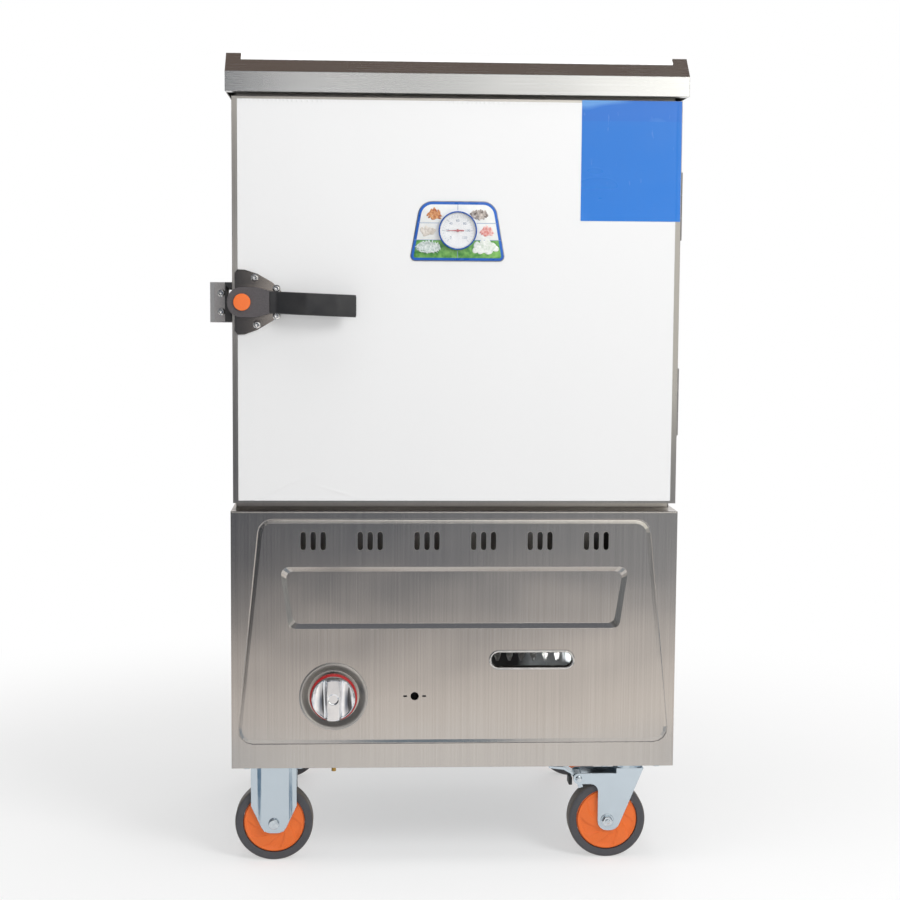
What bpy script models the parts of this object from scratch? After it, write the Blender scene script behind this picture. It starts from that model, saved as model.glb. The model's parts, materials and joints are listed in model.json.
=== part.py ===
"""Rice steamer cabinet on four casters: an insulated steam chamber over a gas-fired base.

Lengths are in metres. X runs to the right, Y from the front to the back and Z up. While the pieces are
made, the front of the base is the plane y = 0 and the floor is z = 0; at the end the whole cabinet is
moved so that its origin lies on the floor under the middle of its overall box.
"""

import math

import bmesh
import bpy
from mathutils import Matrix, Vector

# Fits shared by every piece
GAP = 0.0003
RUNNING_GAP = 0.0006
SHEET = 0.0012
FILM = 0.0004
OVERRUN = 0.004
MERGE_SHARE = 0.01
BEND_SHARE = 0.49
STADIUM_SHARE = 0.999

# Overall sizes
CASTER_HEIGHT = 0.164
BASE_WIDTH = 0.700
BASE_DEPTH = 0.600
BASE_HEIGHT = 0.408
BODY_WIDTH = 0.690
BODY_BACK_INSET = 0.010
WALL_THICKNESS = 0.037

# Roof cap
CAP_SIDE_OVERHANG = 0.0105
CAP_GAP = 0.0065
CAP_NOSE = 0.005
CAP_BAND_HEIGHT = 0.030
CAP_SLOPE_RISE = 0.031
CAP_SLOPE_RUN = 0.032
CAP_LIP = 0.014

# Door
DOOR_WIDTH = 0.692
DOOR_HEIGHT = 0.6235
DOOR_THICKNESS = 0.050
DOOR_SILL_GAP = 0.013
DOOR_LAP = 0.0195
GASKET_THICKNESS = 0.005
GASKET_WIDTH_SHARE = 0.75
INNER_PAN_RETURN = 0.010
DOOR_FILM_SIDE_MARGIN = 0.0085
DOOR_FILM_END_MARGIN = 0.004

# Door thermometer
DIAL_RISE_SHARE = 0.678
LABEL_TOP_WIDTH = 0.116
LABEL_BOTTOM_WIDTH = 0.152
LABEL_ABOVE = 0.045
LABEL_BELOW = 0.047
LABEL_TOP_RADIUS = 0.023
LABEL_BOTTOM_RADIUS = 0.008
LABEL_THICKNESS = 0.001
CASE_RADIUS = 0.0296
CASE_RIM = 0.0027
CASE_DEPTH = 0.007
LENS_THICKNESS = 0.001
STEM_RADIUS = 0.003
STEM_REACH = 0.045
NEEDLE_LENGTH_SHARE = 0.72
NEEDLE_WIDTH = 0.0022
NEEDLE_THICKNESS = 0.0004
NEEDLE_LIFT = 0.0008

# Latch on the door
LATCH_RISE_SHARE = 0.499
LATCH_INSET = 0.0165
LATCH_PLATE_WIDTH = 0.077
LATCH_PLATE_HEIGHT = 0.101
LATCH_PLATE_THICKNESS = 0.0025
HEAD_RADIUS = 0.0228
HEAD_EDGE_SHARE = 0.98
HEAD_LENGTH = 0.0415
HEAD_END_HEIGHT = 0.0345
HEAD_DEPTH = 0.019
TONGUE_THICKNESS = 0.003
TONGUE_WIDTH = 0.016
PIVOT_RADIUS = 0.006
PIVOT_LENGTH = 0.022
CAP_BUTTON_RADIUS = 0.013
CAP_BUTTON_DEPTH = 0.003
GRIP_LENGTH = 0.129
GRIP_HEIGHT = 0.034
GRIP_THICKNESS = 0.010
GRIP_STAND_OFF = 0.022
GRIP_DROOP = 0.005
LATCH_SCREW_SHARES = ((-0.20, 0.74), (0.66, 0.41), (-0.12, -0.68), (0.66, -0.41))
SCREW_RADIUS = 0.0055
SCREW_HEAD_HEIGHT = 0.0017
SCREW_CROWN_SHARE = 0.6
SCREW_SINK = 0.001

# Keeper on the cabinet's left side
KEEPER_HEIGHT = 0.063
KEEPER_REACH = 0.0315
KEEPER_THICKNESS = 0.0025
KEEPER_FOOT = 0.036
KEEPER_LIP = 0.006
KEEPER_SETBACK = 0.0045
STRIKER_WIDTH = 0.0115
STRIKER_HEIGHT = 0.041
WEDGE_HEIGHT = 0.012
STRIKER_SPINE = 0.002
STRIKER_CLEARANCE = 0.001
KEEPER_SCREW_SHARE = 0.23

# Hinges on the right side
HINGE_HEIGHT = 0.107
HINGE_PIN_RADIUS = 0.003
HINGE_KNUCKLE_RADIUS = 0.0058
HINGE_PIN_OFFSET = 0.006
HINGE_PIN_BACK = 0.003
HINGE_LEAF_THICKNESS = 0.002
HINGE_LEAF_DEPTH = 0.041
HINGE_RISE_SHARES = {"lower": 0.251, "upper": 0.746}
HINGE_SCREW_SPACING = 0.0615
HINGE_SCREW_HEAD_HEIGHT = 0.0033

# Inside of the steam chamber
TRAY_LEVELS = 6
FIRST_RAIL_SHARE = 0.5
RAIL_WIDTH = 0.016
RAIL_THICKNESS = 0.003
UPRIGHT_WIDTH = 0.020
RACK_END_INSET = 0.020
PLATE_THICKNESS = 0.002
PLATE_MARGIN = 0.010
PLATE_SLOTS = 7
PLATE_SLOT_WIDTH = 0.012
VENT_RADIUS = 0.012
VENT_WALL = 0.002
VENT_DROP = 0.045
VENT_REACH = 0.028

# Water tank under the chamber
TANK_HEIGHT = 0.150
TANK_INSET = 0.025
TANK_SHEET = 0.0015
TANK_MOUTH_LIP = 0.004
TANK_DECK_GAP = 0.005
STUB_RISE = 0.020
FEED_RADIUS = 0.008
FEED_BORE = 0.006
FEED_X = 0.180
DRAIN_X = -0.180
DRAIN_RADIUS = 0.010
DRAIN_BORE = 0.008
DRAIN_REACH = 0.050
DRAIN_BODY_RADIUS = 0.017
SPOUT_RADIUS = 0.009
SPOUT_DROP = 0.040
LEVER_LENGTH = 0.075
LEVER_WIDTH = 0.014
LEVER_THICKNESS = 0.003
LEVER_STEM_RADIUS = 0.004
LEVER_STEM_HEIGHT = 0.010

# Base front panel
PANEL_RETURN = 0.020
GROOVE_WIDTH = 0.007
GROOVE_DEPTH = 0.0009
GROOVE_FLOOR = 0.001
GROOVE_STEEP_RUN = 0.001
GROOVE_RADIUS = 0.020
GROOVE_TOP_SHARE = 0.962
GROOVE_BOTTOM_SHARE = 0.102
GROOVE_TOP_WIDTH_SHARE = 0.866
GROOVE_BOTTOM_WIDTH_SHARE = 0.969
RECESS_DEPTH = 0.006
RECESS_WALL = 0.008
RECESS_RADIUS = 0.012
RECESS_TOP_SHARE = 0.786
RECESS_BOTTOM_SHARE = 0.544
RECESS_TOP_WIDTH_SHARE = 0.783
RECESS_BOTTOM_WIDTH_SHARE = 0.744
VENT_GROUPS = 6
VENT_PITCH = 0.0888
VENT_SPACING = 0.0155
VENT_WIDTH = 0.008
VENT_HEIGHT = 0.029
VENT_RISE_SHARE = 0.886
SLOT_X_SHARE = 0.350
SLOT_RISE_SHARE = 0.4215
SLOT_WIDTH = 0.133
SLOT_HEIGHT = 0.0285
SLOT_LIP = 0.012
KNOB_X_SHARE = -0.543
KNOB_RISE_SHARE = 0.281
DISH_RADIUS = 0.0515
DISH_FLOOR_RADIUS = 0.0445
DISH_DEPTH = 0.007
DISH_HOLE_RADIUS = 0.009
LIGHTING_X_SHARE = -0.1785
LIGHTING_HOLE_RADIUS = 0.0065
LIGHTING_SLOT_OFFSET = 0.015
LIGHTING_SLOT_WIDTH = 0.0064
LIGHTING_SLOT_HEIGHT = 0.0025
LIGHTING_TUBE_RADIUS = 0.009
LIGHTING_TUBE_WALL = 0.0015
LIGHTING_TUBE_LENGTH = 0.060
LIGHTING_FLANGE_RADIUS = 0.0112

# Gas knob and valve
KNOB_TRAVEL = 0.003
SKIRT_RADIUS = 0.0373
SKIRT_DEPTH = 0.010
KNOB_RADIUS = 0.0342
KNOB_DEPTH = 0.018
KNOB_EDGE = 0.005
KNOB_EDGE_SHARE = 0.3
KNOB_BAR_WIDTH = 0.0206
KNOB_BAR_DEPTH = 0.006
STEM_SHAFT_RADIUS = 0.005
VALVE_RADIUS = 0.014
VALVE_FLANGE_RADIUS = 0.020
VALVE_FLANGE_THICKNESS = 0.003
VALVE_LENGTH = 0.042
INLET_SHARE = 0.6
VALVE_BORE_DEPTH = 0.032
INLET_RADIUS = 0.0037
INLET_COLLAR_RADIUS = 0.008
INLET_COLLAR_LENGTH = 0.018
INLET_BORE = 0.0022
INLET_BELOW_BASE = 0.014
PIPE_RADIUS = 0.005
PIPE_BEND = 0.022

# Burner and its shield
SHIELD_LEFT_SHARE = 0.6714
SHIELD_RIGHT_SHARE = 0.5571
SHIELD_FRONT = 0.026
SHIELD_LENGTH = 0.425
SHIELD_TOP_GAP = 0.012
SHIELD_SHEET = 0.0012
BURNER_FRONT = 0.135
BURNER_LENGTH = 0.290
BURNER_RISE = 0.0085
BURNER_THICKNESS = 0.014
JET_PITCH = 0.020
JET_ROWS = 2
JET_RADIUS = 0.0055
JET_TIP_RADIUS = 0.002
JET_LENGTH = 0.033
JET_TIP_LENGTH = 0.009
JET_INSET = 0.015

# Flue hood on the back of the base
FLUE_X = -0.030
FLUE_WIDTH = 0.180
FLUE_HEIGHT = 0.120
FLUE_DEPTH = 0.040
FLUE_WINDOW_MARGIN = 0.012
FLUE_WINDOW_TOP_GAP = 0.0205
FLUE_OPENING_MARGIN = 0.004
FLUE_OPENING_TOP_GAP = 0.0125

# Float box on the back of the base
FLOAT_BOX_WIDTH = 0.160
FLOAT_BOX_DEPTH = 0.090
FLOAT_BOX_HEIGHT = 0.140
FLOAT_VALVE_RADIUS = 0.008
FLOAT_VALVE_FLANGE = 0.012
FLOAT_VALVE_REACH = 0.018
FLOAT_VALVE_INSIDE = 0.014
FLOAT_VALVE_DROP = 0.025
FLOAT_EAR_LENGTH = 0.014
FLOAT_EAR_THICKNESS = 0.003
FLOAT_HUB_RADIUS = 0.005
FLOAT_HUB_WIDTH = 0.008
FLOAT_PIN_RADIUS = 0.002
FLOAT_ROD_RADIUS = 0.002
FLOAT_ARM_LENGTH = 0.085
FLOAT_ARM_SLOPE = math.radians(30.0)
FLOAT_BALL_RADIUS = 0.020
LID_RIM = 0.010
LID_KNOB_RADIUS = 0.010
LID_KNOB_HEIGHT = 0.015

# Floor of the base
FLOOR_THICKNESS = 0.0025
FLOOR_MOUTH_MARGIN = 0.020
FLOOR_MOUTH_FRONT = 0.125
FLOOR_MOUTH_LENGTH = 0.350

# Casters
CASTER_SIDE_INSET = 0.064
CASTER_INSET = 0.062
WHEEL_RADIUS = 0.0625
WHEEL_WIDTH = 0.032
TYRE_CHAMFER = 0.004
RIM_RADIUS = 0.049
RIM_WIDTH = 0.029
HUB_RADIUS = 0.013
HUB_WIDTH = 0.036
AXLE_RADIUS = 0.004
AXLE_HEAD_RADIUS = 0.0077
AXLE_HEAD_HEIGHT = 0.004
WHEEL_SIDES = 32
CASTER_PLATE_LENGTH = 0.105
CASTER_PLATE_WIDTH = 0.085
CASTER_PLATE_THICKNESS = 0.0025
BOLT_SPACING_X = 0.084
BOLT_SPACING_Y = 0.064
BOLT_HEAD_RADIUS = 0.0065
BOLT_HEAD_HEIGHT = 0.005
CHEEK_THICKNESS = 0.0025
FIXED_CHEEK_WIDTH = 0.073
FIXED_TOE_WIDTH = 0.031
FIXED_TAPER_RISE = 0.0285
TOE_BELOW_AXLE = 0.0165
TOE_RADIUS = 0.0165
CHEEK_RADIUS = 0.012
CASTER_TRAIL = 0.034
SWIVEL_TOP_DROP = 0.0125
SWIVEL_FORK_BACK = 0.024
SWIVEL_FORK_FRONT = 0.020
SWIVEL_TOE_WIDTH = 0.031
ARM_REACH = 0.081
ARM_LOBE_RADIUS = 0.0088
ARM_RISE = 0.069
RACE_RADIUS = 0.025
KINGPIN_RADIUS = 0.006
KINGPIN_NUT_RADIUS = 0.010
KINGPIN_NUT_HEIGHT = 0.006
PEDAL_WIDTH = 0.030
PEDAL_REACH = 0.048
PEDAL_RISE = 0.0195
PEDAL_THICKNESS = 0.003
PEDAL_HUB_RADIUS = 0.0075
PEDAL_PIN_RADIUS = 0.003
PEDAL_PIN_HEAD = 0.0015
PEDAL_TRAVEL = math.radians(18.0)
BRAKE_CLEARANCE = 0.0015

# Levels and planes worked out from the sizes above
BASE_TOP = CASTER_HEIGHT + BASE_HEIGHT
DOOR_BOTTOM = BASE_TOP + DOOR_SILL_GAP
DOOR_TOP = DOOR_BOTTOM + DOOR_HEIGHT
CAP_BOTTOM = DOOR_TOP + CAP_GAP
CAP_BAND_TOP = CAP_BOTTOM + CAP_BAND_HEIGHT
CAP_TOP = CAP_BAND_TOP + CAP_SLOPE_RISE
BODY_BOTTOM = BASE_TOP + GAP
BODY_TOP = CAP_TOP - SHEET - GAP
BODY_FRONT = DOOR_THICKNESS + GASKET_THICKNESS + 2 * GAP
BODY_BACK = BASE_DEPTH - BODY_BACK_INSET
BODY_SIDE = BODY_WIDTH / 2
CHAMBER_SIDE = BODY_SIDE - WALL_THICKNESS
CHAMBER_BACK = BODY_BACK - WALL_THICKNESS
CHAMBER_FLOOR = DOOR_BOTTOM + DOOR_LAP
CHAMBER_TOP = DOOR_TOP - DOOR_LAP
DOOR_SIDE = DOOR_WIDTH / 2
TANK_TOP = CHAMBER_FLOOR - SHEET - GAP
TANK_BOTTOM = TANK_TOP - TANK_HEIGHT
TANK_SIDE = CHAMBER_SIDE - TANK_INSET
TANK_FRONT = BODY_FRONT + TANK_INSET
TANK_BACK = CHAMBER_BACK - TANK_INSET
VENT_LEVEL = CHAMBER_TOP - VENT_DROP
STUB_LEVEL = TANK_BOTTOM + STUB_RISE
PANEL_BACK = PANEL_RETURN + GAP
KNOB_X = KNOB_X_SHARE * BASE_WIDTH / 2
SHIELD_LEFT = SHIELD_LEFT_SHARE * BASE_WIDTH / 2
SHIELD_RIGHT = SHIELD_RIGHT_SHARE * BASE_WIDTH / 2
CASTER_X = BASE_WIDTH / 2 - CASTER_SIDE_INSET
CAP_WIDTH = BODY_WIDTH + 2 * CAP_SIDE_OVERHANG
KNOB_LEVEL = CASTER_HEIGHT + KNOB_RISE_SHARE * BASE_HEIGHT
SLOT_X = SLOT_X_SHARE * BASE_WIDTH / 2
SLOT_LEVEL = CASTER_HEIGHT + SLOT_RISE_SHARE * BASE_HEIGHT
LIGHTING_X = LIGHTING_X_SHARE * BASE_WIDTH / 2
VALVE_FRONT = DISH_DEPTH + SHEET + GAP
VALVE_BACK = VALVE_FRONT + VALVE_LENGTH
FLOOR_TOP = CASTER_HEIGHT + FLOOR_THICKNESS
SHIELD_TOP = TANK_BOTTOM - SHIELD_TOP_GAP
SHIELD_BACK = SHIELD_FRONT + SHIELD_LENGTH
BURNER_BOTTOM = SLOT_LEVEL + BURNER_RISE
JET_FRONT_ROW = BURNER_FRONT + JET_INSET
FLOAT_BOX_BOTTOM = BASE_TOP - FLOAT_BOX_HEIGHT
FLOAT_BOX_FRONT = BASE_DEPTH + GAP
FLOAT_VALVE_LEVEL = BASE_TOP - FLOAT_VALVE_DROP
FLUE_BOTTOM = BURNER_BOTTOM + BURNER_THICKNESS
HINGE_X = DOOR_SIDE + HINGE_PIN_OFFSET
HINGE_Y = DOOR_THICKNESS + HINGE_PIN_BACK
LATCH_X = LATCH_INSET - DOOR_SIDE
LATCH_LEVEL = DOOR_BOTTOM + LATCH_RISE_SHARE * DOOR_HEIGHT
FILM_FRONT = -GAP - FILM
PLATE_FRONT = FILM_FRONT - GAP - LATCH_PLATE_THICKNESS
TONGUE_FRONT = PLATE_FRONT - GAP - TONGUE_THICKNESS
HEAD_BACK = TONGUE_FRONT + SHEET
HEAD_FRONT = HEAD_BACK - HEAD_DEPTH
DIAL_LEVEL = DOOR_BOTTOM + DIAL_RISE_SHARE * DOOR_HEIGHT
LABEL_FRONT = FILM_FRONT - GAP - LABEL_THICKNESS
CASE_BACK = LABEL_FRONT - GAP
CASE_FLOOR = CASE_BACK - SHEET
CASE_FRONT = CASE_BACK - CASE_DEPTH
NEEDLE_BACK = CASE_FLOOR - NEEDLE_LIFT
CASTER_TOP = CASTER_HEIGHT - GAP
CASTER_PLATE_BOTTOM = CASTER_TOP - CASTER_PLATE_THICKNESS
SWIVEL_TOP = CASTER_PLATE_BOTTOM - SWIVEL_TOP_DROP
CHEEK_INSIDE = HUB_WIDTH / 2 + RUNNING_GAP
CHEEK_OUTSIDE = CHEEK_INSIDE + CHEEK_THICKNESS
CASTER_ROWS = {"front": CASTER_INSET, "rear": BASE_DEPTH - CASTER_INSET}

# How the axes lie when a shape is drawn flat and then stood up
FACING_FRONT = Matrix.Rotation(math.radians(90.0), 4, "X")
FACING_SIDE = Matrix.Rotation(math.radians(90.0), 4, "Z") @ FACING_FRONT
LYING = Matrix.Identity(4)
TURNS = {
    "X": Matrix.Rotation(math.radians(90.0), 4, "Y"),
    "Y": Matrix.Rotation(math.radians(-90.0), 4, "X"),
    "Z": Matrix.Identity(4),
}


def empty_scene():
    """Clear the objects and give the parts and the cutters a collection each."""
    for old in list(bpy.data.objects):
        bpy.data.objects.remove(old, do_unlink=True)
    found = []
    for name in ("rice_steamer_cabinet", "cutters"):
        made = bpy.data.collections.new(name)
        bpy.context.scene.collection.children.link(made)
        found.append(made)
    return found


PARTS, CUTTERS = empty_scene()


def material(name, colour, roughness, metallic):
    """A plain Principled material; colour is red, green and blue from 0 to 1."""
    made = bpy.data.materials.new(name)
    made.use_nodes = True
    shader = made.node_tree.nodes["Principled BSDF"]
    shader.inputs["Base Color"].default_value = (*colour, 1.0)
    shader.inputs["Roughness"].default_value = roughness
    shader.inputs["Metallic"].default_value = metallic
    return made


STEEL = material("brushed_stainless", (0.55, 0.54, 0.52), 0.32, 1.0)
DARK_STEEL = material("dark_stainless", (0.16, 0.14, 0.13), 0.35, 1.0)
ZINC = material("zinc_plate", (0.62, 0.68, 0.74), 0.40, 1.0)
GALVANISED = material("galvanised_sheet", (0.66, 0.70, 0.72), 0.50, 1.0)
CHROME = material("chrome", (0.85, 0.85, 0.86), 0.08, 1.0)
BRASS = material("brass", (0.66, 0.52, 0.28), 0.35, 1.0)
FOAM = material("foam_insulation", (0.80, 0.72, 0.45), 0.90, 0.0)
WHITE_FILM = material("protective_film", (0.90, 0.90, 0.90), 0.35, 0.0)
BLUE_ENAMEL = material("blue_enamel", (0.03, 0.12, 0.55), 0.30, 0.0)
GLASS = material("lens_glass", (0.90, 0.92, 0.92), 0.05, 0.0)
RED = material("red_plastic", (0.45, 0.01, 0.01), 0.30, 0.0)
BLACK = material("black_plastic", (0.02, 0.02, 0.02), 0.50, 0.0)
GREY_IRON = material("grey_casting", (0.12, 0.11, 0.11), 0.55, 0.6)
ORANGE = material("orange_plastic", (0.90, 0.20, 0.04), 0.40, 0.0)
RUBBER = material("grey_rubber", (0.07, 0.07, 0.08), 0.75, 0.0)


def place_of(carrier):
    """Where a carrier's origin lies in the cabinet's frame; no carrier is turned."""
    place = Vector((0.0, 0.0, 0.0))
    while carrier:
        place += carrier.location
        carrier = carrier.parent
    return place


def carried(item, carrier):
    """Hang item, whose location is in the cabinet's frame, on its carrier."""
    item.location -= place_of(carrier)
    item.parent = carrier
    return item


def axis_point(name, place, carrier):
    """An empty on a joint's axis, which the pieces that move there hang on."""
    made = bpy.data.objects.new(name, None)
    made.empty_display_size = OVERRUN
    made.location = Vector(place)
    PARTS.objects.link(made)
    return carried(made, carrier)


ROOT = bpy.data.objects.new("cabinet_origin", None)
PARTS.objects.link(ROOT)


def stored(mesh, name, place, look, carrier):
    """Make the object of a finished mesh; without a look it is a cutter."""
    made = bpy.data.objects.new(name, mesh)
    made.location = Vector(place)
    if look:
        mesh.materials.append(look)
        PARTS.objects.link(made)
    else:
        made.hide_render = True
        made.display_type = "WIRE"
        CUTTERS.objects.link(made)
    return carried(made, carrier or ROOT)


def outward(form, turn, smooth):
    """Turn a bmesh to its place's axes, face it outwards and give its mesh."""
    bmesh.ops.remove_doubles(form, verts=form.verts, dist=MERGE_SHARE * GAP)
    bmesh.ops.recalc_face_normals(form, faces=form.faces)
    bmesh.ops.transform(form, matrix=turn, verts=form.verts)
    mesh = bpy.data.meshes.new("form")
    form.to_mesh(mesh)
    form.free()
    if smooth:
        mesh.shade_smooth()
        mesh.set_sharp_from_angle(angle=math.radians(35.0))
    return mesh


def block(name, low, high, look=None, carrier=None):
    """A box between two corners."""
    low, high = Vector(low), Vector(high)
    form = bmesh.new()
    bmesh.ops.create_cube(form, size=1.0)
    bmesh.ops.scale(form, vec=high - low, verts=form.verts)
    return stored(outward(form, LYING, False), name, (low + high) / 2, look, carrier)


def evaluated(item):
    """The mesh of an object with its modifiers applied."""
    bpy.context.view_layer.update()
    graph = bpy.context.evaluated_depsgraph_get()
    return bpy.data.meshes.new_from_object(item.evaluated_get(graph))


def turned(name, profile, sides, axis, place, look=None, carrier=None, ring=False, half_step=False):
    """A turned shape: profile holds (radius, height along the axis), outer side top to bottom."""
    line = bpy.data.meshes.new("profile")
    edges = [(i, i + 1) for i in range(len(profile) - 1)]
    if ring:
        edges.append((len(profile) - 1, 0))
    line.from_pydata([(radius, 0.0, height) for radius, height in profile], edges, [])
    lathe = bpy.data.objects.new("lathe", line)
    CUTTERS.objects.link(lathe)
    screw = lathe.modifiers.new("turn", "SCREW")
    screw.steps = sides
    screw.render_steps = sides
    screw.use_merge_vertices = True
    screw.merge_threshold = MERGE_SHARE * GAP
    form = bmesh.new()
    form.from_mesh(evaluated(lathe))
    bpy.data.objects.remove(lathe, do_unlink=True)
    turn = TURNS[axis]
    if half_step:
        turn = turn @ Matrix.Rotation(math.pi / sides, 4, "Z")
    return stored(outward(form, turn, True), name, place, look, carrier)


def rod(name, radius, start, end, axis, place, look=None, carrier=None, sides=16):
    """A round bar from start to end along an axis through place."""
    profile = [(0.0, end), (radius, end), (radius, start), (0.0, start)]
    return turned(name, profile, sides, axis, place, look, carrier)


def rounded(corners, radii, steps=4, closed=True):
    """A line whose corners are replaced by arcs; a radius of zero keeps the corner."""
    corners = [Vector(corner).to_3d() for corner in corners]
    points = []
    for i, corner in enumerate(corners):
        radius = radii[i]
        at_end = not closed and i in (0, len(corners) - 1)
        if radius == 0.0 or at_end:
            points.append(corner)
            continue
        before = corners[i - 1] - corner
        after = corners[(i + 1) % len(corners)] - corner
        half_angle = before.angle(after) / 2
        reach = min(radius / math.tan(half_angle), BEND_SHARE * before.length, BEND_SHARE * after.length)
        bisector = (before.normalized() + after.normalized()).normalized()
        centre = corner + bisector * (reach / math.cos(half_angle))
        first = corner + before.normalized() * reach - centre
        last = corner + after.normalized() * reach - centre
        swing = first.angle(last)
        for step in range(steps + 1):
            share = step / steps
            arm = first * math.sin((1.0 - share) * swing) + last * math.sin(share * swing)
            points.append(centre + arm / math.sin(swing))
    return points


def flat_curve(points, thickness):
    """A filled outline, drawn as a 2D curve, as a mesh centred on its own plane."""
    curve = bpy.data.curves.new("outline", "CURVE")
    curve.dimensions = "2D"
    curve.fill_mode = "BOTH"
    curve.extrude = thickness / 2
    line = curve.splines.new("POLY")
    line.points.add(len(points) - 1)
    for point, corner in zip(line.points, points):
        point.co = (corner[0], corner[1], 0.0, 1.0)
    line.use_cyclic_u = True
    drawn = bpy.data.objects.new("drawn", curve)
    CUTTERS.objects.link(drawn)
    mesh = evaluated(drawn)
    bpy.data.objects.remove(drawn, do_unlink=True)
    return mesh


def slab(name, points, thickness, stance, place, look=None, carrier=None, smooth=False):
    """A flat outline of even thickness, stood up by its stance and centred on place."""
    form = bmesh.new()
    form.from_mesh(flat_curve(points, thickness))
    return stored(outward(form, stance, smooth), name, place, look, carrier)


def front_slab(name, points, front, back, place, look=None, carrier=None, smooth=False):
    """An outline in X and Z between two depths; place gives the outline's origin."""
    middle = Vector((place[0], (front + back) / 2, place[1]))
    return slab(name, points, back - front, FACING_FRONT, middle, look, carrier, smooth)


def ring_slab(name, *loops):
    """A closed frame whose skin runs through matching outlines in X and Z, each at its own depth."""
    form = bmesh.new()
    rows = []
    for outline, depth in loops:
        rows.append([form.verts.new((corner[0], depth, corner[1])) for corner in outline])
    for row, after in zip(rows, rows[1:] + rows[:1]):
        for i in range(len(row)):
            form.faces.new((row[i - 1], row[i], after[i], after[i - 1]))
    return stored(outward(form, LYING, False), name, (0.0, 0.0, 0.0), None, None)


def tapered_slab(name, points, front, back, inset, place, look=None, carrier=None):
    """Like front_slab, but drawn in by inset at the back, with the walls sloping."""
    made = front_slab(name, points, front, back, place, look, carrier)
    half_width = max(corner[0] for corner in points)
    half_height = max(corner[1] for corner in points)
    for vertex in made.data.vertices:
        if vertex.co.y > 0.0:
            vertex.co.x *= (half_width - inset) / half_width
            vertex.co.z *= (half_height - inset) / half_height
    return made


def pipe(name, points, radius, look, carrier=None):
    """A round bar or pipe along a line, with filled ends."""
    curve = bpy.data.curves.new("route", "CURVE")
    curve.dimensions = "3D"
    curve.bevel_depth = radius
    curve.bevel_resolution = 2
    curve.use_fill_caps = True
    line = curve.splines.new("POLY")
    line.points.add(len(points) - 1)
    origin = points[0]
    for point, corner in zip(line.points, points):
        point.co = (*(corner - origin), 1.0)
    drawn = bpy.data.objects.new("drawn", curve)
    CUTTERS.objects.link(drawn)
    form = bmesh.new()
    form.from_mesh(evaluated(drawn))
    bpy.data.objects.remove(drawn, do_unlink=True)
    return stored(outward(form, LYING, True), name, origin, look, carrier)


def boolean(target, tool, operation):
    change = target.modifiers.new(tool.name, "BOOLEAN")
    change.operation = operation
    change.object = tool
    change.solver = "EXACT"


def cut(target, *tools):
    """Take the tools out of the target."""
    for tool in tools:
        boolean(target, tool, "DIFFERENCE")
    return target


def join(target, *tools):
    """Weld the tools to the target."""
    for tool in tools:
        boolean(target, tool, "UNION")
    return target


def one_tool(name, pieces, carrier=None):
    """Several closed shapes as the separate bodies of one tool."""
    bpy.context.view_layer.update()
    place = Vector(pieces[0].matrix_world.translation)
    form = bmesh.new()
    for piece in pieces:
        mesh = evaluated(piece)
        mesh.transform(Matrix.Translation(-place) @ piece.matrix_world)
        form.from_mesh(mesh)
        bpy.data.objects.remove(piece, do_unlink=True)
    return stored(outward(form, LYING, True), name, place, None, carrier)


def stadium(width, height, steps=4):
    """An upright or lying slot with round ends, centred on zero."""
    half_width, half_height = width / 2, height / 2
    radius = min(half_width, half_height)
    corners = [
        (-half_width, -half_height),
        (half_width, -half_height),
        (half_width, half_height),
        (-half_width, half_height),
    ]
    return rounded(corners, [STADIUM_SHARE * radius] * 4, steps)


def trapezoid(top_half, bottom_half, top, bottom):
    """Corners of an upright trapezoid, anticlockwise from the lower left."""
    return [(-bottom_half, bottom), (bottom_half, bottom), (top_half, top), (-top_half, top)]


def screw_head(name, axis, sign, rise, place, carrier=None):
    """A domed screw head that stands on a plate; its foot is sunk into the plate."""
    profile = [
        (0.0, rise),
        (SCREW_CROWN_SHARE * SCREW_RADIUS, rise),
        (SCREW_RADIUS, rise / 3),
        (SCREW_RADIUS, -SCREW_SINK),
        (0.0, -SCREW_SINK),
    ]
    if sign < 0:
        profile = [(radius, -height) for radius, height in reversed(profile)]
    return turned(name, profile, 10, axis, place, None, carrier)


# Steam chamber

def outer_shell():
    """The body's outer sheet: both sides, back and top, open to the front and the bottom."""
    shell = block(
        "outer_shell",
        (-BODY_SIDE, BODY_FRONT, BODY_BOTTOM),
        (BODY_SIDE, BODY_BACK, BODY_TOP),
        STEEL,
    )
    hollow = block(
        "cut_outer_shell",
        (SHEET - BODY_SIDE, BODY_FRONT - OVERRUN, BODY_BOTTOM - OVERRUN),
        (BODY_SIDE - SHEET, BODY_BACK - SHEET, BODY_TOP - SHEET),
    )
    hole = rod(
        "cut_shell_vent",
        VENT_RADIUS + GAP,
        -OVERRUN - WALL_THICKNESS / 2,
        OVERRUN,
        "Y",
        (0.0, BODY_BACK, VENT_LEVEL),
    )
    return cut(shell, hollow, hole)


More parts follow.
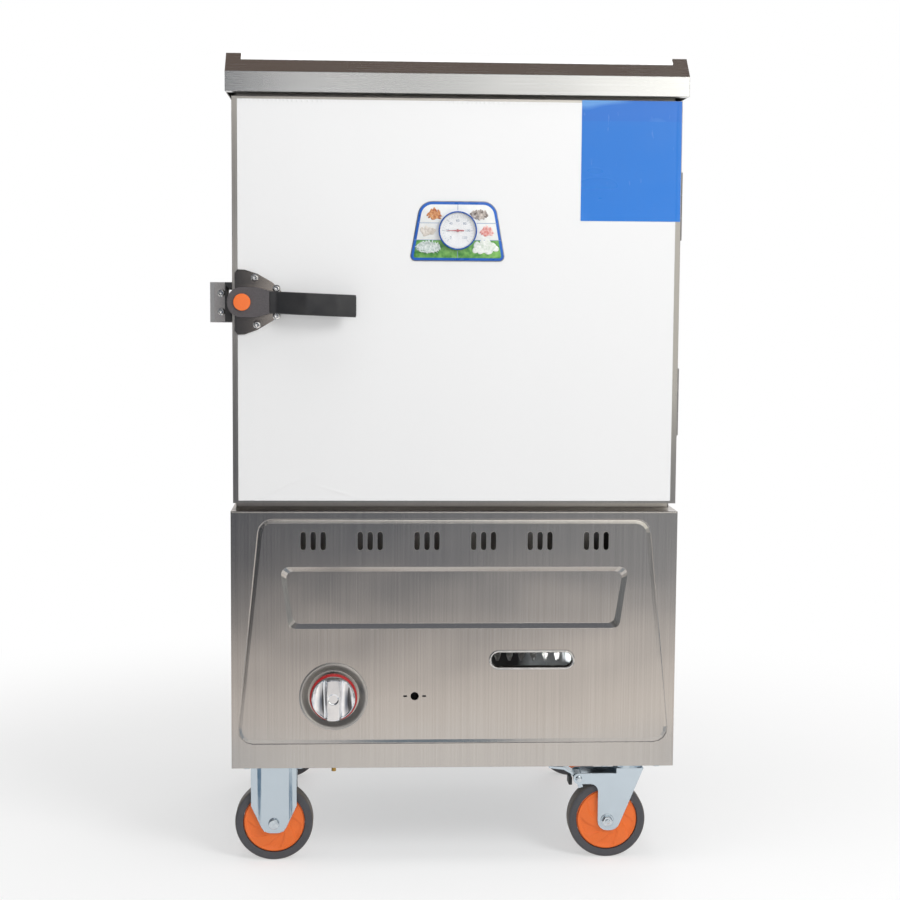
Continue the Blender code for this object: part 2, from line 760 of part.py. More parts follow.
def inner_liner():
    """The welded chamber, the flange that closes the wall's front edge and the steam vent at the back."""
    inside = BODY_SIDE - SHEET - GAP
    liner = block(
        "inner_liner",
        (-inside, BODY_FRONT, BODY_BOTTOM + GAP),
        (inside, BODY_FRONT + SHEET, BODY_TOP - SHEET - GAP),
        STEEL,
    )
    box = block(
        "join_liner_box",
        (-CHAMBER_SIDE - SHEET, BODY_FRONT + SHEET / 2, CHAMBER_FLOOR - SHEET),
        (CHAMBER_SIDE + SHEET, CHAMBER_BACK + SHEET, CHAMBER_TOP + SHEET),
    )
    hollow = block(
        "cut_liner_chamber",
        (-CHAMBER_SIDE, BODY_FRONT - OVERRUN, CHAMBER_FLOOR),
        (CHAMBER_SIDE, CHAMBER_BACK, CHAMBER_TOP),
    )
    mouth = block(
        "cut_liner_mouth",
        (TANK_MOUTH_LIP - TANK_SIDE, TANK_FRONT + TANK_MOUTH_LIP, CHAMBER_FLOOR - OVERRUN),
        (TANK_SIDE - TANK_MOUTH_LIP, TANK_BACK - TANK_MOUTH_LIP, CHAMBER_FLOOR + OVERRUN),
    )
    vent_place = (0.0, CHAMBER_BACK, VENT_LEVEL)
    vent_end = BODY_BACK + VENT_REACH - CHAMBER_BACK
    vent = rod("join_liner_vent", VENT_RADIUS, SHEET / 2, vent_end, "Y", vent_place)
    bore = rod(
        "cut_liner_vent",
        VENT_RADIUS - VENT_WALL,
        -OVERRUN,
        vent_end + OVERRUN,
        "Y",
        vent_place,
    )
    return cut(join(liner, box, vent), hollow, mouth, bore)


def body_insulation():
    """Foam that fills the wall between the outer sheet and the liner."""
    side = BODY_SIDE - SHEET - GAP
    foam = block(
        "body_insulation",
        (-side, BODY_FRONT + SHEET + GAP, BODY_BOTTOM + GAP),
        (side, BODY_BACK - SHEET - GAP, BODY_TOP - SHEET - GAP),
        FOAM,
    )
    inside = block(
        "cut_foam_liner",
        (-CHAMBER_SIDE - SHEET - GAP, BODY_FRONT - OVERRUN, CHAMBER_FLOOR - SHEET - GAP),
        (CHAMBER_SIDE + SHEET + GAP, CHAMBER_BACK + SHEET + GAP, CHAMBER_TOP + SHEET + GAP),
    )
    tank = block(
        "cut_foam_tank",
        (-TANK_SIDE - GAP, TANK_FRONT - GAP, BODY_BOTTOM - OVERRUN),
        (TANK_SIDE + GAP, TANK_BACK + GAP, CHAMBER_FLOOR),
    )
    vent = rod(
        "cut_foam_vent",
        VENT_RADIUS + GAP,
        -OVERRUN,
        WALL_THICKNESS + OVERRUN,
        "Y",
        (0.0, CHAMBER_BACK, VENT_LEVEL),
    )
    return cut(foam, inside, tank, vent)


def tray_pitch():
    return (CHAMBER_TOP - CHAMBER_FLOOR) / (TRAY_LEVELS + FIRST_RAIL_SHARE)


def tray_rack(side):
    """Two uprights against the chamber wall, with a rail for each tray welded to their inner faces."""
    name = "tray_rack_left" if side < 0 else "tray_rack_right"
    wall = CHAMBER_SIDE - GAP
    front = BODY_FRONT + RACK_END_INSET
    back = CHAMBER_BACK - RACK_END_INSET
    bottom = CHAMBER_FLOOR + GAP
    top = CHAMBER_TOP - RACK_END_INSET

    def rack_block(title, x_in, x_out, y_low, y_high, z_low, z_high, look=None):
        xs = sorted((side * x_in, side * x_out))
        return block(title, (xs[0], y_low, z_low), (xs[1], y_high, z_high), look)

    inner = wall - RAIL_THICKNESS
    rack = rack_block(name, inner, wall, front, front + UPRIGHT_WIDTH, bottom, top, STEEL)
    parts = [rack_block(f"join_{name}_back", inner, wall, back - UPRIGHT_WIDTH, back, bottom, top)]
    for level in range(TRAY_LEVELS):
        z = CHAMBER_FLOOR + (level + FIRST_RAIL_SHARE) * tray_pitch()
        parts.append(
            rack_block(
                f"join_{name}_rail_{level}",
                wall - RAIL_WIDTH,
                inner + RAIL_THICKNESS / 2,
                front - RACK_END_INSET / 2,
                back + RACK_END_INSET / 2,
                z - RAIL_THICKNESS,
                z,
            )
        )
    return join(rack, *parts)


def steam_plate():
    """Slotted plate over the water tank, with its slots in a row from left to right."""
    side = CHAMBER_SIDE - RAIL_THICKNESS - PLATE_MARGIN
    front = BODY_FRONT + PLATE_MARGIN
    back = CHAMBER_BACK - PLATE_MARGIN
    bottom = CHAMBER_FLOOR + GAP
    plate = block("steam_plate", (-side, front, bottom), (side, back, bottom + PLATE_THICKNESS), STEEL)
    pitch = 2 * side / (PLATE_SLOTS + 1)
    slots = []
    for number in range(PLATE_SLOTS):
        x = (number + 1) * pitch - side
        slots.append(
            block(
                f"cut_plate_slot_{number}",
                (x - PLATE_SLOT_WIDTH / 2, TANK_FRONT + TANK_INSET, bottom - OVERRUN),
                (x + PLATE_SLOT_WIDTH / 2, TANK_BACK - TANK_INSET, bottom + OVERRUN),
            )
        )
    return cut(plate, *slots)


def water_tank():
    """Open tank under the chamber, with the holes for feed and drain in its back."""
    tank = block(
        "water_tank",
        (-TANK_SIDE, TANK_FRONT, TANK_BOTTOM),
        (TANK_SIDE, TANK_BACK, TANK_TOP),
        STEEL,
    )
    hollow = block(
        "cut_tank",
        (TANK_SHEET - TANK_SIDE, TANK_FRONT + TANK_SHEET, TANK_BOTTOM + TANK_SHEET),
        (TANK_SIDE - TANK_SHEET, TANK_BACK - TANK_SHEET, TANK_TOP + OVERRUN),
    )
    feed_place = (FEED_X, TANK_BACK, STUB_LEVEL)
    drain_place = (DRAIN_X, TANK_BACK, STUB_LEVEL)
    feed_bore = rod("cut_feed", FEED_BORE, -OVERRUN, OVERRUN, "Y", feed_place, sides=12)
    drain_bore = rod("cut_drain", DRAIN_BORE, -OVERRUN, OVERRUN, "Y", drain_place, sides=12)
    return cut(tank, hollow, feed_bore, drain_bore)


# Roof

def cap_profile(inset):
    """Side view of the roof cap, y and z, drawn in by the thickness of its sheet."""
    front = inset - CAP_NOSE
    slope_inset = inset * math.tan(math.atan2(CAP_SLOPE_RISE, CAP_SLOPE_RUN) / 2)
    top_inset = inset * math.tan(math.atan2(CAP_SLOPE_RISE, CAP_SLOPE_RUN) / 2)
    slope_back = CAP_SLOPE_RUN - CAP_NOSE
    return [
        (front, CAP_BOTTOM + inset),
        (BASE_DEPTH - inset, CAP_BOTTOM + inset),
        (BASE_DEPTH - inset, CAP_TOP - inset),
        (slope_back + top_inset, CAP_TOP - inset),
        (front, CAP_BAND_TOP - slope_inset),
    ]


def roof_cap():
    """Folded cap with a band, a sloping front and a lip under its front edge."""
    cap = slab("roof_cap", cap_profile(0.0), CAP_WIDTH, FACING_SIDE, (0.0, 0.0, 0.0), STEEL)
    inside = CAP_WIDTH - 2 * SHEET
    hollow = slab("cut_cap", cap_profile(SHEET), inside, FACING_SIDE, (0.0, 0.0, 0.0))
    half = CAP_WIDTH / 2 - SHEET
    below = block(
        "cut_cap_below",
        (-half, CAP_LIP, CAP_BOTTOM - OVERRUN),
        (half, BASE_DEPTH - SHEET, CAP_BOTTOM + CAP_BAND_HEIGHT / 2),
    )
    return cut(cap, hollow, below)


# Base cabinet

def base_shell():
    """Sides, back and top deck of the base, behind the front panel."""
    side = BASE_WIDTH / 2
    shell = block("base_shell", (-side, PANEL_BACK, CASTER_HEIGHT), (side, BASE_DEPTH, BASE_TOP), STEEL)
    hollow = block(
        "cut_base",
        (SHEET - side, PANEL_BACK - OVERRUN, CASTER_HEIGHT - OVERRUN),
        (side - SHEET, BASE_DEPTH - SHEET, BASE_TOP - SHEET),
    )
    tank = block(
        "cut_deck",
        (-TANK_SIDE - TANK_DECK_GAP, TANK_FRONT - TANK_DECK_GAP, BASE_TOP - OVERRUN),
        (TANK_SIDE + TANK_DECK_GAP, TANK_BACK + TANK_DECK_GAP, BASE_TOP + OVERRUN),
    )
    half = FLUE_WIDTH / 2 - FLUE_OPENING_MARGIN
    flue = block(
        "cut_base_flue",
        (FLUE_X - half, BASE_DEPTH - OVERRUN, FLUE_BOTTOM + FLUE_OPENING_MARGIN),
        (FLUE_X + half, BASE_DEPTH + OVERRUN, SHIELD_TOP - FLUE_OPENING_TOP_GAP),
    )
    feed = rod(
        "cut_base_feed",
        FEED_RADIUS + GAP,
        -OVERRUN,
        OVERRUN,
        "Y",
        (FEED_X, BASE_DEPTH, STUB_LEVEL),
    )
    drain = rod(
        "cut_base_drain",
        DRAIN_RADIUS + GAP,
        -OVERRUN,
        OVERRUN,
        "Y",
        (DRAIN_X, BASE_DEPTH, STUB_LEVEL),
    )
    return cut(shell, hollow, tank, flue, feed, drain)


def panel_point(width_share, rise_share):
    """A place on the panel: a share of its half width and of its height."""
    return width_share * BASE_WIDTH / 2, CASTER_HEIGHT + rise_share * BASE_HEIGHT


def recess_outline(grow):
    """The pressed recess, drawn about its own middle."""
    half_height = (RECESS_TOP_SHARE - RECESS_BOTTOM_SHARE) * BASE_HEIGHT / 2 + grow
    top_half = RECESS_TOP_WIDTH_SHARE * BASE_WIDTH / 2 + grow
    bottom_half = RECESS_BOTTOM_WIDTH_SHARE * BASE_WIDTH / 2 + grow
    corners = trapezoid(top_half, bottom_half, half_height, -half_height)
    return rounded(corners, [RECESS_RADIUS + grow] * 4)


def groove_cutter():
    """A shallow ring round a wide trapezoid: steep outside, and sloping gently up to the field inside."""
    top = CASTER_HEIGHT + GROOVE_TOP_SHARE * BASE_HEIGHT
    bottom = CASTER_HEIGHT + GROOVE_BOTTOM_SHARE * BASE_HEIGHT
    top_half = GROOVE_TOP_WIDTH_SHARE * BASE_WIDTH / 2
    bottom_half = GROOVE_BOTTOM_WIDTH_SHARE * BASE_WIDTH / 2
    half = GROOVE_WIDTH / 2
    foot = half - GROOVE_STEEP_RUN
    section = [
        (half, -OVERRUN),
        (half, 0.0),
        (foot, GROOVE_DEPTH),
        (foot - GROOVE_FLOOR, GROOVE_DEPTH),
        (-half, 0.0),
        (-half, -OVERRUN),
    ]
    loops = []
    for grow, depth in section:
        corners = trapezoid(top_half + grow, bottom_half + grow, top + grow, bottom - grow)
        loops.append((rounded(corners, [GROOVE_RADIUS + grow] * 4, steps=4), depth))
    return ring_slab("cut_groove", *loops)


def vent_cutters():
    """Groups of three upright slots in a row near the top of the panel."""
    made = []
    level = CASTER_HEIGHT + VENT_RISE_SHARE * BASE_HEIGHT
    outline = stadium(VENT_WIDTH, VENT_HEIGHT, steps=2)
    for number in range(VENT_GROUPS):
        middle = (number - (VENT_GROUPS - 1) / 2) * VENT_PITCH
        for side in (-1, 0, 1):
            place = (middle + side * VENT_SPACING, level)
            made.append(front_slab(f"vent_{number}_{side}", outline, -OVERRUN, OVERRUN, place))
    return one_tool("cut_vents", made)


def base_front_panel():
    """Pressed front panel: groove, recess, vents, knob dish, lighting hole and viewing slot."""
    side = BASE_WIDTH / 2
    panel = block(
        "base_front_panel",
        (-side, 0.0, CASTER_HEIGHT),
        (side, PANEL_RETURN, BASE_TOP),
        STEEL,
    )
    hollow = block(
        "cut_panel",
        (SHEET - side, SHEET, CASTER_HEIGHT + SHEET),
        (side - SHEET, PANEL_RETURN + OVERRUN, BASE_TOP - SHEET),
    )
    recess_place = panel_point(0.0, (RECESS_TOP_SHARE + RECESS_BOTTOM_SHARE) / 2)
    pan = tapered_slab(
        "join_recess",
        recess_outline(SHEET),
        SHEET / 2,
        RECESS_DEPTH + SHEET,
        RECESS_WALL,
        recess_place,
    )
    recess = tapered_slab(
        "cut_recess",
        recess_outline(0.0),
        -GAP,
        RECESS_DEPTH,
        RECESS_WALL,
        recess_place,
    )
    dish_place = (KNOB_X, 0.0, KNOB_LEVEL)
    dish_body = turned(
        "join_dish",
        [
            (0.0, DISH_DEPTH + SHEET),
            (DISH_FLOOR_RADIUS + SHEET, DISH_DEPTH + SHEET),
            (DISH_RADIUS + SHEET, SHEET / 2),
            (0.0, SHEET / 2),
        ],
        32,
        "Y",
        dish_place,
    )
    dish = turned(
        "cut_dish",
        [
            (0.0, DISH_DEPTH),
            (DISH_FLOOR_RADIUS, DISH_DEPTH),
            (DISH_RADIUS, 0.0),
            (DISH_RADIUS, -OVERRUN),
            (0.0, -OVERRUN),
        ],
        32,
        "Y",
        dish_place,
    )
    dish_back = DISH_DEPTH + SHEET + OVERRUN
    stem_hole = rod("cut_dish_stem", DISH_HOLE_RADIUS, -OVERRUN, dish_back, "Y", dish_place)
    slot_place = (SLOT_X, SLOT_LEVEL)
    lip = front_slab(
        "join_slot_lip",
        stadium(SLOT_WIDTH + 2 * SHEET, SLOT_HEIGHT + 2 * SHEET),
        SHEET / 2,
        SLOT_LIP,
        slot_place,
    )
    throat = stadium(SLOT_WIDTH, SLOT_HEIGHT)
    slot = front_slab("cut_slot", throat, -OVERRUN, SLOT_LIP + OVERRUN, slot_place)
    lighting = rod(
        "cut_lighting",
        LIGHTING_HOLE_RADIUS,
        -OVERRUN,
        OVERRUN,
        "Y",
        (LIGHTING_X, 0.0, KNOB_LEVEL),
    )
    tools = [hollow, recess, dish, stem_hole, slot, lighting, groove_cutter(), vent_cutters()]
    for sign in (-1, 1):
        tools.append(
            front_slab(
                f"cut_lighting_slot_{sign}",
                stadium(LIGHTING_SLOT_WIDTH, LIGHTING_SLOT_HEIGHT, steps=2),
                -OVERRUN,
                OVERRUN,
                (LIGHTING_X + sign * LIGHTING_SLOT_OFFSET, KNOB_LEVEL),
            )
        )
    cut(panel, tools[0])
    join(panel, pan, dish_body, lip)
    return cut(panel, *tools[1:])


def base_floor():
    """Floor plate that carries the casters, with a mouth for the burner's air."""
    side = BASE_WIDTH / 2 - SHEET - GAP
    floor = block(
        "base_floor",
        (-side, PANEL_BACK, CASTER_HEIGHT),
        (side, BASE_DEPTH - SHEET - GAP, FLOOR_TOP),
        GALVANISED,
    )
    mouth = block(
        "cut_floor_mouth",
        (FLOOR_MOUTH_MARGIN - SHIELD_LEFT, FLOOR_MOUTH_FRONT, CASTER_HEIGHT - OVERRUN),
        (SHIELD_RIGHT - FLOOR_MOUTH_MARGIN, FLOOR_MOUTH_FRONT + FLOOR_MOUTH_LENGTH, FLOOR_TOP + OVERRUN),
    )
    inlet = rod(
        "cut_floor_inlet",
        INLET_COLLAR_RADIUS,
        -OVERRUN,
        FLOOR_THICKNESS + OVERRUN,
        "Z",
        (KNOB_X, inlet_y(), CASTER_HEIGHT),
    )
    return cut(floor, mouth, inlet)


# Gas side

def inlet_y():
    """The inlet hangs below the front half of the valve."""
    return VALVE_FRONT + INLET_SHARE * VALVE_LENGTH


def gas_valve():
    """Brass valve behind the dish, with the inlet nipple that reaches below the base."""
    valve_place = (KNOB_X, VALVE_FRONT, KNOB_LEVEL)
    valve = turned(
        "gas_valve",
        [
            (0.0, VALVE_LENGTH),
            (VALVE_RADIUS, VALVE_LENGTH),
            (VALVE_RADIUS, VALVE_FLANGE_THICKNESS),
            (VALVE_FLANGE_RADIUS, VALVE_FLANGE_THICKNESS),
            (VALVE_FLANGE_RADIUS, 0.0),
            (0.0, 0.0),
        ],
        16,
        "Y",
        valve_place,
        BRASS,
    )
    bottom = CASTER_HEIGHT - INLET_BELOW_BASE - KNOB_LEVEL
    inlet_place = (KNOB_X, inlet_y(), KNOB_LEVEL)
    collar_bottom = -VALVE_RADIUS - INLET_COLLAR_LENGTH
    inlet = turned(
        "join_inlet",
        [
            (0.0, -VALVE_RADIUS / 2),
            (INLET_COLLAR_RADIUS, -VALVE_RADIUS / 2),
            (INLET_COLLAR_RADIUS, collar_bottom),
            (INLET_RADIUS, collar_bottom),
            (INLET_RADIUS, bottom),
            (0.0, bottom),
        ],
        12,
        "Z",
        inlet_place,
    )
    bore = rod(
        "cut_valve_bore",
        STEM_SHAFT_RADIUS + GAP,
        -OVERRUN,
        VALVE_BORE_DEPTH,
        "Y",
        valve_place,
    )
    inlet_bore = rod(
        "cut_inlet_bore",
        INLET_BORE,
        bottom - OVERRUN,
        collar_bottom,
        "Z",
        inlet_place,
        sides=10,
    )
    return cut(join(valve, inlet), bore, inlet_bore)


def burner():
    """Flat burner head with rows of upright jets hanging below it, and its pipe from the valve."""
    left = SHIELD_SHEET / 2 + GAP - SHIELD_LEFT
    right = SHIELD_RIGHT - SHIELD_SHEET / 2 - GAP
    head = block(
        "burner",
        (left, BURNER_FRONT, BURNER_BOTTOM),
        (right, BURNER_FRONT + BURNER_LENGTH, BURNER_BOTTOM + BURNER_THICKNESS),
        ZINC,
    )
    first = math.ceil((left + JET_RADIUS) / JET_PITCH)
    last = math.floor((right - JET_RADIUS) / JET_PITCH)
    profile = [
        (0.0, BURNER_THICKNESS / 2),
        (JET_RADIUS, BURNER_THICKNESS / 2),
        (JET_RADIUS, -JET_LENGTH),
        (JET_TIP_RADIUS, -JET_LENGTH - JET_TIP_LENGTH),
        (0.0, -JET_LENGTH - JET_TIP_LENGTH),
    ]
    jets = []
    for row in range(JET_ROWS):
        y = JET_FRONT_ROW + row * (BURNER_LENGTH - 2 * JET_INSET) / max(JET_ROWS - 1, 1)
        for number in range(first, last + 1):
            place = (number * JET_PITCH, y, BURNER_BOTTOM)
            jets.append(turned(f"jet_{row}_{number}", profile, 6, "Z", place))
    x = KNOB_X
    rise_y = JET_FRONT_ROW + JET_PITCH
    corners = [
        Vector((x, VALVE_BACK + GAP, KNOB_LEVEL)),
        Vector((x, rise_y, KNOB_LEVEL)),
        Vector((x, rise_y, BURNER_BOTTOM + BURNER_THICKNESS / 2)),
    ]
    route = rounded(corners, [0.0, PIPE_BEND, 0.0], steps=6, closed=False)
    supply = pipe("join_supply_pipe", route, PIPE_RADIUS, None)
    return join(head, one_tool("join_jets", jets), supply)


def burner_shield():
    """Side and back plates round the flames, with a notch for the valve and a window for the flue."""
    left, right = -SHIELD_LEFT, SHIELD_RIGHT
    half = SHIELD_SHEET / 2
    bottom = FLOOR_TOP + GAP
    shield = block(
        "burner_shield",
        (left - half, SHIELD_FRONT, bottom),
        (right + half, SHIELD_BACK, SHIELD_TOP),
        GALVANISED,
    )
    hollow = block(
        "cut_shield",
        (left + half, SHIELD_FRONT - OVERRUN, bottom - OVERRUN),
        (right - half, SHIELD_BACK - SHIELD_SHEET, SHIELD_TOP + OVERRUN),
    )
    reach = FLUE_WIDTH / 2 - FLUE_WINDOW_MARGIN
    window = block(
        "cut_shield_window",
        (FLUE_X - reach, SHIELD_BACK - OVERRUN, FLUE_BOTTOM + FLUE_WINDOW_MARGIN),
        (FLUE_X + reach, SHIELD_BACK + OVERRUN, SHIELD_TOP - FLUE_WINDOW_TOP_GAP),
    )
    return cut(shield, hollow, window)


def ignition_tube():
    """Short tube behind the lighting hole, on a flange against the panel."""
    place = (LIGHTING_X, SHEET + GAP, KNOB_LEVEL)
    inner = LIGHTING_TUBE_RADIUS - LIGHTING_TUBE_WALL
    profile = [
        (inner, LIGHTING_TUBE_LENGTH),
        (LIGHTING_TUBE_RADIUS, LIGHTING_TUBE_LENGTH),
        (LIGHTING_TUBE_RADIUS, LIGHTING_TUBE_WALL),
        (LIGHTING_FLANGE_RADIUS, LIGHTING_TUBE_WALL),
        (LIGHTING_FLANGE_RADIUS, 0.0),
        (inner, 0.0),
    ]
    return turned("ignition_tube", profile, 16, "Y", place, ZINC, ring=True)


def flue_hood():
    """Hood over the exhaust window, open to the top."""
    half = FLUE_WIDTH / 2
    front = BASE_DEPTH + GAP
    top = FLUE_BOTTOM + FLUE_HEIGHT
    hood = block(
        "flue_hood",
        (FLUE_X - half, front, FLUE_BOTTOM),
        (FLUE_X + half, front + FLUE_DEPTH, top),
        STEEL,
    )
    hollow = block(
        "cut_hood",
        (FLUE_X - half + SHEET, front - OVERRUN, FLUE_BOTTOM + SHEET),
        (FLUE_X + half - SHEET, front + FLUE_DEPTH - SHEET, top + OVERRUN),
    )
    return cut(hood, hollow)


# Water side

def float_box_side(sign):
    return FEED_X + sign * FLOAT_BOX_WIDTH / 2


def float_middle():
    """Depth of the middle of the float box."""
    return FLOAT_BOX_FRONT + FLOAT_BOX_DEPTH / 2


def float_box():
    """Open water box on the back of the base, with the pipe that feeds the tank."""
    low = (float_box_side(-1), FLOAT_BOX_FRONT, FLOAT_BOX_BOTTOM)
    high = (float_box_side(1), FLOAT_BOX_FRONT + FLOAT_BOX_DEPTH, BASE_TOP)
    box = block("float_box", low, high, STEEL)
    hollow = block(
        "cut_float_box",
        (low[0] + SHEET, low[1] + SHEET, low[2] + SHEET),
        (high[0] - SHEET, high[1] - SHEET, high[2] + OVERRUN),
    )
    feed_place = (FEED_X, FLOAT_BOX_FRONT, STUB_LEVEL)
    start = TANK_BACK + GAP - FLOAT_BOX_FRONT
    feed = rod("join_box_feed", FEED_RADIUS, start, SHEET / 2, "Y", feed_place, sides=12)
    feed_bore = rod("cut_box_feed", FEED_BORE, start - OVERRUN, OVERRUN, "Y", feed_place, sides=12)
    valve = rod(
        "cut_box_valve",
        FLOAT_VALVE_RADIUS + GAP,
        -OVERRUN,
        OVERRUN,
        "X",
        (low[0], float_middle(), FLOAT_VALVE_LEVEL),
    )
    return cut(join(box, feed), hollow, feed_bore, valve)


def float_pivot_x():
    return float_box_side(-1) + SHEET + FLOAT_VALVE_INSIDE + FLOAT_EAR_LENGTH / 2 + FLOAT_HUB_RADIUS / 2


def float_valve():
    """Inlet valve through the left wall of the box, with two ears and a pin for the arm."""
    wall = float_box_side(-1)
    place = (wall, float_middle(), FLOAT_VALVE_LEVEL)
    valve = turned(
        "float_valve",
        [
            (0.0, SHEET + FLOAT_VALVE_INSIDE),
            (FLOAT_VALVE_RADIUS, SHEET + FLOAT_VALVE_INSIDE),
            (FLOAT_VALVE_RADIUS, -GAP),
            (FLOAT_VALVE_FLANGE, -GAP),
            (FLOAT_VALVE_FLANGE, -GAP - FLOAT_EAR_THICKNESS),
            (FLOAT_VALVE_RADIUS, -GAP - FLOAT_EAR_THICKNESS),
            (FLOAT_VALVE_RADIUS, -FLOAT_VALVE_REACH),
            (0.0, -FLOAT_VALVE_REACH),
        ],
        12,
        "X",
        place,
        BRASS,
    )
    tools = []
    start = wall + SHEET + FLOAT_VALVE_INSIDE - FLOAT_EAR_THICKNESS
    gap = FLOAT_HUB_WIDTH / 2 + RUNNING_GAP
    for sign in (-1, 1):
        ys = sorted((float_middle() + sign * gap, float_middle() + sign * (gap + FLOAT_EAR_THICKNESS)))
        tools.append(
            block(
                f"join_ear_{sign}",
                (start, ys[0], FLOAT_VALVE_LEVEL - FLOAT_HUB_RADIUS),
                (float_pivot_x() + FLOAT_HUB_RADIUS, ys[1], FLOAT_VALVE_LEVEL + FLOAT_HUB_RADIUS),
            )
        )
    half_pin = gap + FLOAT_EAR_THICKNESS / 2
    tools.append(
        rod(
            "join_float_pin",
            FLOAT_PIN_RADIUS,
            -half_pin,
            half_pin,
            "Y",
            (float_pivot_x(), float_middle(), FLOAT_VALVE_LEVEL),
            sides=10,
        )
    )
    bore_start = -2 * FLOAT_VALVE_REACH
    bore = rod("cut_valve_inlet", FLOAT_VALVE_RADIUS / 2, bore_start, 0.0, "X", place, sides=10)
    return cut(join(valve, *tools), bore)


def float_arm():
    """Arm with its ball, resting low in an empty box; it turns on the pin between the ears."""
    pivot = (float_pivot_x(), float_middle(), FLOAT_VALVE_LEVEL)
    axis = axis_point("float_axis", pivot, ROOT)
    half = FLOAT_HUB_WIDTH / 2
    arm = rod("float_arm", FLOAT_HUB_RADIUS, -half, half, "Y", pivot, BRASS, axis)
    direction = Vector((math.cos(FLOAT_ARM_SLOPE), 0.0, -math.sin(FLOAT_ARM_SLOPE)))
    start = Vector(pivot) + direction * (FLOAT_HUB_RADIUS - FLOAT_PIN_RADIUS / 2)
    end = Vector(pivot) + direction * FLOAT_ARM_LENGTH
    bar = pipe("join_float_rod", [start, end], FLOAT_ROD_RADIUS, None, axis)
    form = bmesh.new()
    bmesh.ops.create_uvsphere(form, u_segments=12, v_segments=8, radius=FLOAT_BALL_RADIUS)
    ball = stored(outward(form, LYING, True), "join_float_ball", end, None, axis)
    room = FLOAT_PIN_RADIUS + GAP
    bore = rod("cut_float_hub", room, -2 * half, 2 * half, "Y", pivot, None, axis, sides=10)
    return cut(join(arm, bar, ball), bore)


def float_box_lid():
    """Loose lid with a rim on three sides and a small knob."""
    left = float_box_side(-1) - RUNNING_GAP - SHEET
    right = float_box_side(1) + RUNNING_GAP + SHEET
    back = FLOAT_BOX_FRONT + FLOAT_BOX_DEPTH + RUNNING_GAP + SHEET
    top = BASE_TOP + GAP + SHEET
    middle = (FEED_X, float_middle(), BASE_TOP + GAP)
    axis = axis_point("float_lid_slide", middle, ROOT)
    front_corner = (left, FLOAT_BOX_FRONT, BASE_TOP - LID_RIM)
    lid = block("float_box_lid", front_corner, (right, back, top), STEEL, axis)
    hollow = block(
        "cut_lid",
        (left + SHEET, FLOAT_BOX_FRONT - OVERRUN, BASE_TOP - LID_RIM - OVERRUN),
        (right - SHEET, back - SHEET, BASE_TOP + GAP),
        None,
        axis,
    )
    knob = turned(
        "join_lid_knob",
        [
            (0.0, SHEET + LID_KNOB_HEIGHT),
            (LID_KNOB_RADIUS, SHEET + LID_KNOB_HEIGHT),
            (LID_KNOB_RADIUS, SHEET + LID_KNOB_HEIGHT / 2),
            (LID_KNOB_RADIUS / 2, SHEET + LID_KNOB_HEIGHT / 2),
            (LID_KNOB_RADIUS / 2, SHEET / 2),
            (0.0, SHEET / 2),
        ],
        12,
        "Z",
        middle,
        None,
        axis,
    )
    return join(cut(lid, hollow), knob)


def drain_start():
    """Depth at which the drain valve's body starts, behind the base."""
    return BASE_DEPTH + SHEET


def drain_valve():
    """Ball valve with its pipe from the tank and a spout."""
    place = (DRAIN_X, drain_start(), STUB_LEVEL)
    neck = DRAIN_REACH / 4
    start = TANK_BACK + GAP - drain_start()
    valve = turned(
        "drain_valve",
        [
            (0.0, DRAIN_REACH),
            (DRAIN_BODY_RADIUS, DRAIN_REACH),
            (DRAIN_BODY_RADIUS, neck),
            (DRAIN_RADIUS, neck),
            (DRAIN_RADIUS, start),
            (0.0, start),
        ],
        12,
        "Y",
        place,
        BRASS,
    )
    spout_place = (DRAIN_X, drain_start() + (neck + DRAIN_REACH) / 2, STUB_LEVEL)
    spout = rod("join_spout", SPOUT_RADIUS, -SPOUT_DROP, 0.0, "Z", spout_place, sides=12)
    low_end = -SPOUT_DROP - OVERRUN
    bore = rod("cut_spout", SPOUT_RADIUS / 2, low_end, -DRAIN_BODY_RADIUS, "Z", spout_place, sides=10)
    pipe_bore = rod("cut_drain_pipe", DRAIN_BORE, start - OVERRUN, 0.0, "Y", place, sides=12)
    return cut(join(valve, spout), bore, pipe_bore)


def drain_lever():
    """Quarter-turn lever on top of the drain valve, closed across the pipe."""
    y = drain_start() + (DRAIN_REACH / 4 + DRAIN_REACH) / 2
    level = STUB_LEVEL + DRAIN_BODY_RADIUS + GAP
    pivot = (DRAIN_X, y, level)
    axis = axis_point("drain_lever_axis", pivot, ROOT)
    lever = rod("drain_lever", LEVER_STEM_RADIUS, 0.0, LEVER_STEM_HEIGHT, "Z", pivot, RED, axis, sides=12)
    blade = block(
        "join_lever_blade",
        (DRAIN_X - LEVER_LENGTH, y - LEVER_WIDTH / 2, level + LEVER_STEM_HEIGHT - LEVER_THICKNESS),
        (DRAIN_X + LEVER_WIDTH / 2, y + LEVER_WIDTH / 2, level + LEVER_STEM_HEIGHT + LEVER_THICKNESS / 2),
        None,
        axis,
    )
    return join(lever, blade)


# Gas knob

